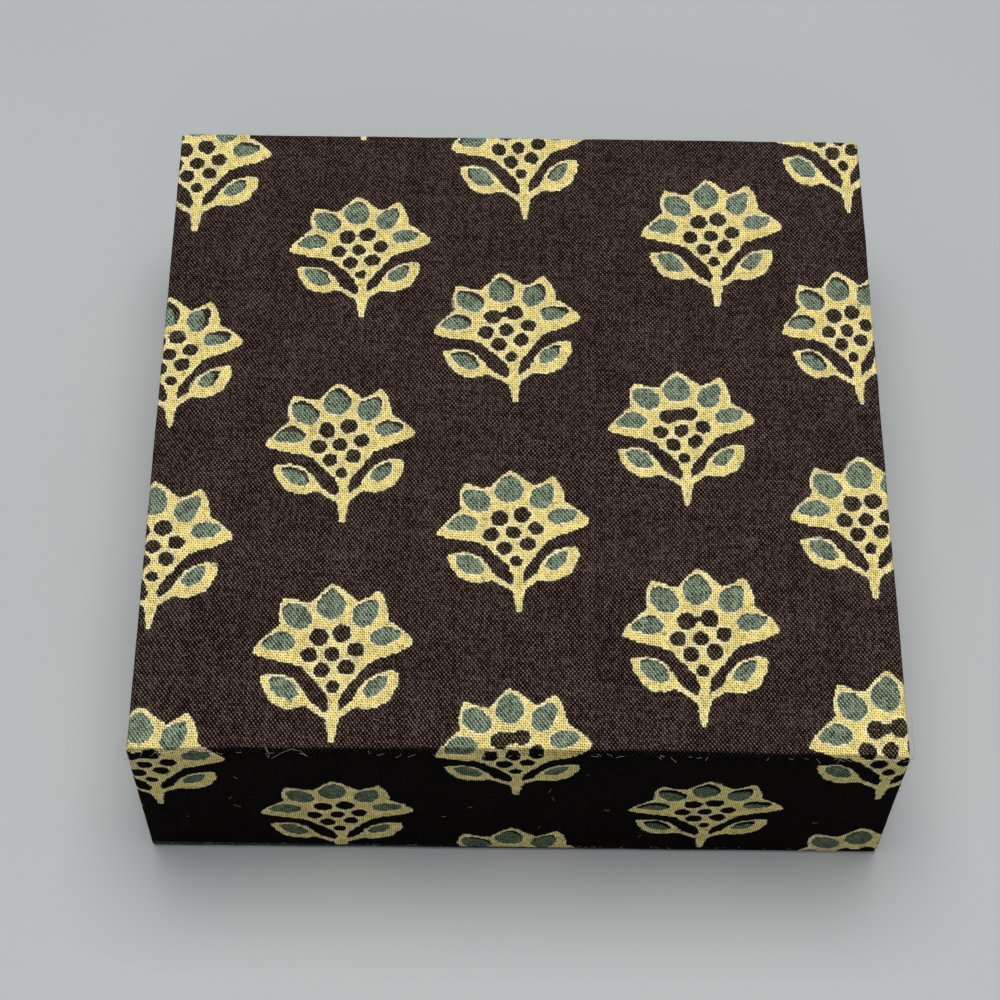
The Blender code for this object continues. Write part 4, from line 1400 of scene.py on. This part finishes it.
def cover_pad(piece, pad, settings, thickness):
    """Takes the middle out of the cover's back and gives the cloth its thickness."""
    inner = pad.high.x - settings.turned

    def middle_of_back(face):
        centre = face.calc_center_median()
        level = abs(centre.z - pad.back_level()) < FOLD_ROUND and face.normal.z * pad.up < -LEVEL
        return level and max(abs(centre.x), abs(centre.y)) < inner

    pick(piece, "FACE", middle_of_back)
    bpy.ops.mesh.delete(type="FACE")
    thicken(piece, thickness)


def cloth_map(piece):
    """A map in millimetres: from above on level faces, and round the sides on the others."""

    def spot_of(face, vertex):
        x, y, z = vertex.co / MM
        if abs(face.normal.z) > 0.5:
            return x, y
        return (z, y) if abs(face.normal.x) > abs(face.normal.y) else (x, z)

    lay_map(piece, spot_of)


def make_foam(name, node, body, pad, grid, settings):
    """A pad's foam, with the body that it rides on and the node that it stands for."""
    foam = pad.make(name, grid)
    smooth(foam)
    dress(foam, foam_cells(settings), body, "foam", node)
    return foam


class BOX_OT_lift_out_pad(bpy.types.Operator):
    """Make the lift-out pad: foam with a ring slit, covered in velvet"""

    bl_idname = "presentation_box.lift_out_pad"
    bl_label = "Lift-out pad"

    def execute(self, context):
        settings = context.scene.box_pads
        slit = (settings.slit, settings.slit_depth, settings.slit_width)
        foam_slit = (settings.slit + SLIT_LONGER, settings.slit_depth + SLIT_DEEPER, FOAM_SLIT_WIDTH)
        pad = Pad(*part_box("insert_foam"), INSERT_FOAM_FORM, 1, foam_slit)
        foam = make_foam("pad_foam", "insert_foam", "insert", pad, INSERT_FOAM_GRID, settings)

        rise = settings.swell
        top = INSERT_HIGH - Vector((0.0, 0.0, rise))
        pad = Pad(INSERT_LOW, top, INSERT_COVER_FORM, 1, slit)
        cover = pad.make("pad_velvet", COVER_GRID)
        floor = pad.low.z + INSERT_HELD

        def held(point):
            return point.z < floor or pad.dip(point) > SLIT_HELD

        swell(cover, held, rise)
        cover_pad(cover, pad, settings, settings.velvet_cloth)
        dress(cover, velvet(settings), "insert", "velvet", "insert_cover")
        return {"FINISHED"}


class BOX_OT_lid_pad(bpy.types.Operator):
    """Make the padded lining inside the lid: thin foam covered in satin"""

    bl_idname = "presentation_box.lid_pad"
    bl_label = "Lid's satin pad"

    def execute(self, context):
        settings = context.scene.box_pads
        pad = Pad(*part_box("lid_pad_foam"), LID_FOAM_FORM, -1)
        foam = make_foam("lid_foam", "lid_pad_foam", "lid", pad, LID_FOAM_GRID, settings)

        rise = settings.swell * 0.6
        low = LID_PAD_LOW + Vector((0.0, 0.0, rise))
        pad = Pad(low, LID_PAD_HIGH, LID_COVER_FORM, -1)
        cover = pad.make("lid_satin", COVER_GRID)
        ceiling = pad.high.z - LID_HELD
        swell(cover, lambda point: point.z > ceiling, rise)
        cloth_map(cover)
        cover_pad(cover, pad, settings, settings.satin_cloth)
        dress(cover, satin(settings), "lid", "satin", "lid_pad_cover")
        return {"FINISHED"}


def ribbon_path(settings):
    """The ribbon's outer side: up the pad's front, round its shoulder and on to the free end."""
    bend = settings.ribbon_bend
    front, heel = TAIL_LOW.y, TAB_LOW.z + 0.1 * MM
    path = [Vector((0.0, front, TAIL_LOW.z)), Vector((0.0, front, heel))]
    for i in range(1, BEND_POINTS + 1):
        turn = QUARTER * i / BEND_POINTS
        path.append(
            Vector((0.0, front + bend * (1 - math.cos(turn)), heel + bend * math.sin(turn)))
        )
    start = path[-1]
    run, rise = TAB_HIGH.y - start.y, TAB_HIGH.z - start.z
    for i in range(1, RUN_POINTS + 1):
        share = i / RUN_POINTS
        curl = settings.ribbon_curl * max(share - 0.6, 0.0) ** 2 / 0.16
        lift = rise * share * (1.2 - 0.2 * share) + curl
        path.append(start + Vector((0.0, run * share, lift)))
    return path


def even_steps(path, step):
    """Places at even steps along a path, each with its length of way and outward direction."""
    ways = [0.0]
    for near, far in zip(path, path[1:]):
        ways.append(ways[-1] + (far - near).length)
    count = round(ways[-1] / step)
    places, part = [], 0
    for i in range(count + 1):
        way = ways[-1] * i / count
        while part < len(path) - 2 and ways[part + 1] < way:
            part += 1
        along = path[part + 1] - path[part]
        place = path[part] + along * ((way - ways[part]) / (ways[part + 1] - ways[part]))
        places.append((place, way, Vector((0.0, -along.z, along.y)).normalized()))
    return places


class BOX_OT_ribbon(bpy.types.Operator):
    """Make the pull tab: one ribbed ribbon, from the pad's front over its shoulder"""

    bl_idname = "presentation_box.ribbon"
    bl_label = "Pull tab's ribbon"

    def execute(self, context):
        settings = context.scene.box_pads
        rib = settings.rib
        cord = rib * CORD_HEIGHT_SHARE
        places = even_steps(ribbon_path(settings), rib / 4)
        width = TAB_HIGH.x - TAB_LOW.x
        columns = 20
        bpy.ops.object.select_all(action="DESELECT")
        bpy.ops.mesh.primitive_grid_add(
            x_subdivisions=columns, y_subdivisions=len(places) - 1, size=1.0
        )
        piece = bpy.context.object
        piece.name = piece.data.name = "pull_ribbon"
        mesh = piece.data
        rows = {}
        for vertex in mesh.vertices:
            row = round((vertex.co.y + 0.5) * (len(places) - 1))
            rows[vertex.index] = row
            place, way, outward = places[row]
            x = vertex.co.x * width
            inner = width / 2 - abs(x) > settings.selvedge
            relief = cord * math.cos(FULL_TURN * way / rib) if inner else 0.02 * MM
            wave = unevenness(Vector((x, way, 0.0)), 4.0, 2.2) * 0.07 * MM
            vertex.co = place + Vector((x, 0.0, 0.0)) + outward * (relief + wave - cord)
        lay_map(
            piece,
            lambda face, vertex: (vertex.co.x / MM, places[rows[vertex.index]][1] / MM),
        )
        pick(piece, "FACE", lambda face: True)
        faces_out = max(mesh.polygons, key=lambda face: face.center.y).normal.z > 0
        if not faces_out:
            bpy.ops.mesh.flip_normals()
        thicken(piece, settings.ribbon_cloth)
        dress(piece, ribbed_ribbon(settings), None, "ribbon", "ribbon_tail", "pull_tab")
        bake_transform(piece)
        return {"FINISHED"}


def fibre_finish(name, shade):
    """Cotton fibre, with paler and darker stretches along it."""
    fibre = Finish(name, 0.7)
    spot = fibre.place()
    uneven = fibre.noise(spot, 1.7, 2.0)
    return fibre.finish(
        Base_Color=fibre.tint(shade, uneven.fade(0.25, 0.75, 0.6, 1.2)),
        Roughness=uneven.fade(0.3, 0.7, 0.8, 0.6),
        Normal=fibre.bump(uneven, 0.01, 0.3),
    )


def fibre_feet(rng, settings):
    """Places on the lid where fibres stand out: foot, outward direction and run."""
    half, round_off = LID_HIGH.x, 0.3 * settings.corner
    low, high = LID_LOW.z, LID_HIGH.z
    for side in range(4):
        turn = Matrix.Rotation(side * QUARTER, 3, "Z")
        for _ in range(EDGE_FIBRES):
            along = rng.uniform(-half, half)
            foot = Vector((along, -half + round_off, high - round_off))
            yield turn @ foot, turn @ Vector((0, -0.7, 0.7)), turn @ Vector((1, 0, 0))
        for _ in range(CORNER_FIBRES):
            foot = Vector((-half + round_off, -half + round_off, rng.uniform(low, high)))
            yield turn @ foot, turn @ Vector((-0.7, -0.7, 0)), Vector((0, 0, 1))
        for _ in range(FOOT_FIBRES):
            foot = Vector((rng.uniform(-half, half), -half + 0.1 * MM, low + 0.1 * MM))
            yield turn @ foot, turn @ Vector((0, -0.9, -0.4)), turn @ Vector((1, 0, 0))
        for _ in range(WALL_FIBRES):
            foot = Vector((rng.uniform(-half, half), -half, rng.uniform(low, high)))
            yield turn @ foot, turn @ Vector((0, -1, 0)), turn @ Vector((1, 0, 0))
    for _ in range(TOP_FIBRES):
        foot = Vector((rng.uniform(-half, half), rng.uniform(-half, half), high))
        yield foot, Vector((0, 0, 1)), Vector((1, 0, 0))


def fibre_points(rng, foot, out, run):
    """One short bent fibre that leaves the cloth and leans back over it."""
    side = out.cross(run)
    heading = rng.uniform(-math.pi, math.pi) if out.z > 0.9 else rng.uniform(-0.9, 0.9)
    way = (run * math.cos(heading) + side * math.sin(heading)) * rng.choice((-1, 1))
    reach = rng.uniform(0.2, 1.0) * MM
    rise = rng.uniform(0.02, 0.28) * MM * (0.25 if out.z > 0.9 else 1.0)
    bend = rng.uniform(-0.5, 0.5)
    points = []
    for i in range(5):
        share = i / 4
        drift = out.cross(way) * (bend * share * share)
        lift = math.sin(share * 2.4) * rise - 0.03 * MM * (1 - share)
        points.append(foot + (way * share + drift) * reach + out * lift)
    return points


class BOX_OT_fibres(bpy.types.Operator):
    """Raise the fine cotton fibres and loose threads along the lid's edges"""

    bl_idname = "presentation_box.fibres"
    bl_label = "Loose fibres"

    def execute(self, context):
        settings = context.scene.box_cover
        rng = random.Random(11)
        lines = bpy.data.curves.new("loose_fibres", "CURVE")
        lines.dimensions = "3D"
        lines.bevel_depth = settings.fibre
        lines.bevel_resolution = 0
        lines.use_fill_caps = True

        def lay(points, dark, thick=1.0):
            line = lines.splines.new("POLY")
            line.points.add(len(points) - 1)
            for spot, point in zip(line.points, points):
                spot.co = (*point, 1.0)
                spot.radius = thick
            line.material_index = int(dark)

        for foot, out, run in fibre_feet(rng, settings):
            lay(fibre_points(rng, foot, out, run), rng.random() < 0.7)
        for dark, thick, *path in LOOSE_THREADS:
            lay([Vector(point) * MM for point in path], dark, thick)

        piece = bpy.data.objects.new("loose_fibres", lines)
        context.scene.collection.objects.link(piece)
        alone(piece)
        bpy.ops.object.convert(target="MESH")
        piece = context.object
        piece.data.materials.clear()
        piece.data.materials.append(fibre_finish("pale_fibre", settings.pale_fibre))
        piece.data.materials.append(fibre_finish("dark_fibre", settings.dark_fibre))
        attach(piece, "lid")
        return {"FINISHED"}


class BOX_OT_stage(bpy.types.Operator):
    """Set a plain pale floor, soft lamps and the camera"""

    bl_idname = "presentation_box.stage"
    bl_label = "Stage"

    def execute(self, context):
        settings = context.scene.box_stage
        bpy.ops.object.select_all(action="DESELECT")
        bpy.ops.mesh.primitive_plane_add(size=4.0, location=(0.0, 0.0, 0.0))
        floor = bpy.context.object
        floor.name = "floor"
        table = Finish("table", 0.55)
        spot = table.place()
        shade = table.cloud(spot, 0.006, 3.0, 0.985, 1.015)
        fine = table.noise(spot, 0.9, 2.0)
        floor.data.materials.append(
            table.finish(
                Base_Color=table.tint(settings.floor, shade),
                Normal=table.bump(fine, 0.02, 0.3),
            )
        )

        def lamp(name, power, size, place, target):
            data = bpy.data.lights.new(name, "AREA")
            data.shape = "DISK"
            data.size = size
            data.energy = power
            light = bpy.data.objects.new(name, data)
            context.scene.collection.objects.link(light)
            light.location = place
            light.rotation_euler = (
                (Vector(target) - Vector(place)).to_track_quat("-Z", "Y").to_euler()
            )

        lamp("key", settings.key, size=0.62, place=(0.0, 0.1, 0.8), target=(0.0, 0.0, 0.02))
        lamp("fill", settings.fill, size=0.6, place=(0.0, -0.6, 0.7), target=(0.0, -0.1, 0.0))

        world = bpy.data.worlds.new("room")
        context.scene.world = world
        world.use_nodes = True
        tree = world.node_tree
        background = tree.nodes["Background"]
        background.inputs["Color"].default_value = (0.95, 0.97, 1.0, 1.0)
        background.inputs["Strength"].default_value = settings.world

        camera = bpy.data.cameras.new("camera")
        camera.lens = settings.lens
        camera.sensor_width = 36.0
        eye = bpy.data.objects.new("camera", camera)
        context.scene.collection.objects.link(eye)
        eye.location = CAMERA_PLACE
        eye.rotation_euler = Euler([math.radians(angle) for angle in CAMERA_TURN])
        camera.clip_start = 0.01
        context.scene.camera = eye
        context.scene.view_settings.view_transform = "Standard"
        return {"FINISHED"}


class BOX_PT_panel(bpy.types.Panel):
    """Lists the box's pieces"""

    bl_idname = "BOX_PT_panel"
    bl_label = "Presentation box"
    bl_space_type = "VIEW_3D"
    bl_region_type = "UI"
    bl_category = "Presentation box"

    def draw(self, context):
        for operator in OPERATORS:
            self.layout.operator(operator.bl_idname)
        for name, group in SETTINGS.items():
            box = self.layout.box()
            box.label(text=group.__doc__)
            for key in group.__annotations__:
                box.prop(getattr(context.scene, name), key)


SETTINGS = {
    "box_cover": CoverSettings,
    "box_tray": TraySettings,
    "box_boards": BoardSettings,
    "box_pads": PadSettings,
    "box_stage": StageSettings,
}
OPERATORS = (
    BOX_OT_boards, BOX_OT_tray_cloth, BOX_OT_lift_out_pad, BOX_OT_ribbon, BOX_OT_lid_pad,
    BOX_OT_lid_cloth, BOX_OT_fibres, BOX_OT_stage,
)


def register():
    for group in SETTINGS.values():
        bpy.utils.register_class(group)
    for operator in OPERATORS:
        bpy.utils.register_class(operator)
    bpy.utils.register_class(BOX_PT_panel)
    for name, group in SETTINGS.items():
        setattr(bpy.types.Scene, name, bpy.props.PointerProperty(type=group))


def unregister():
    for name in SETTINGS:
        delattr(bpy.types.Scene, name)
    bpy.utils.unregister_class(BOX_PT_panel)
    for made in (*reversed(OPERATORS), *reversed(tuple(SETTINGS.values()))):
        bpy.utils.unregister_class(made)


def main():
    register()
    bpy.ops.presentation_box.boards()
    bpy.ops.presentation_box.tray_cloth()
    bpy.ops.presentation_box.lift_out_pad()
    bpy.ops.presentation_box.ribbon()
    bpy.ops.presentation_box.lid_pad()
    bpy.ops.presentation_box.lid_cloth()
    bpy.ops.presentation_box.fibres()
    bpy.ops.presentation_box.stage()


if __name__ == "__main__":
    main()
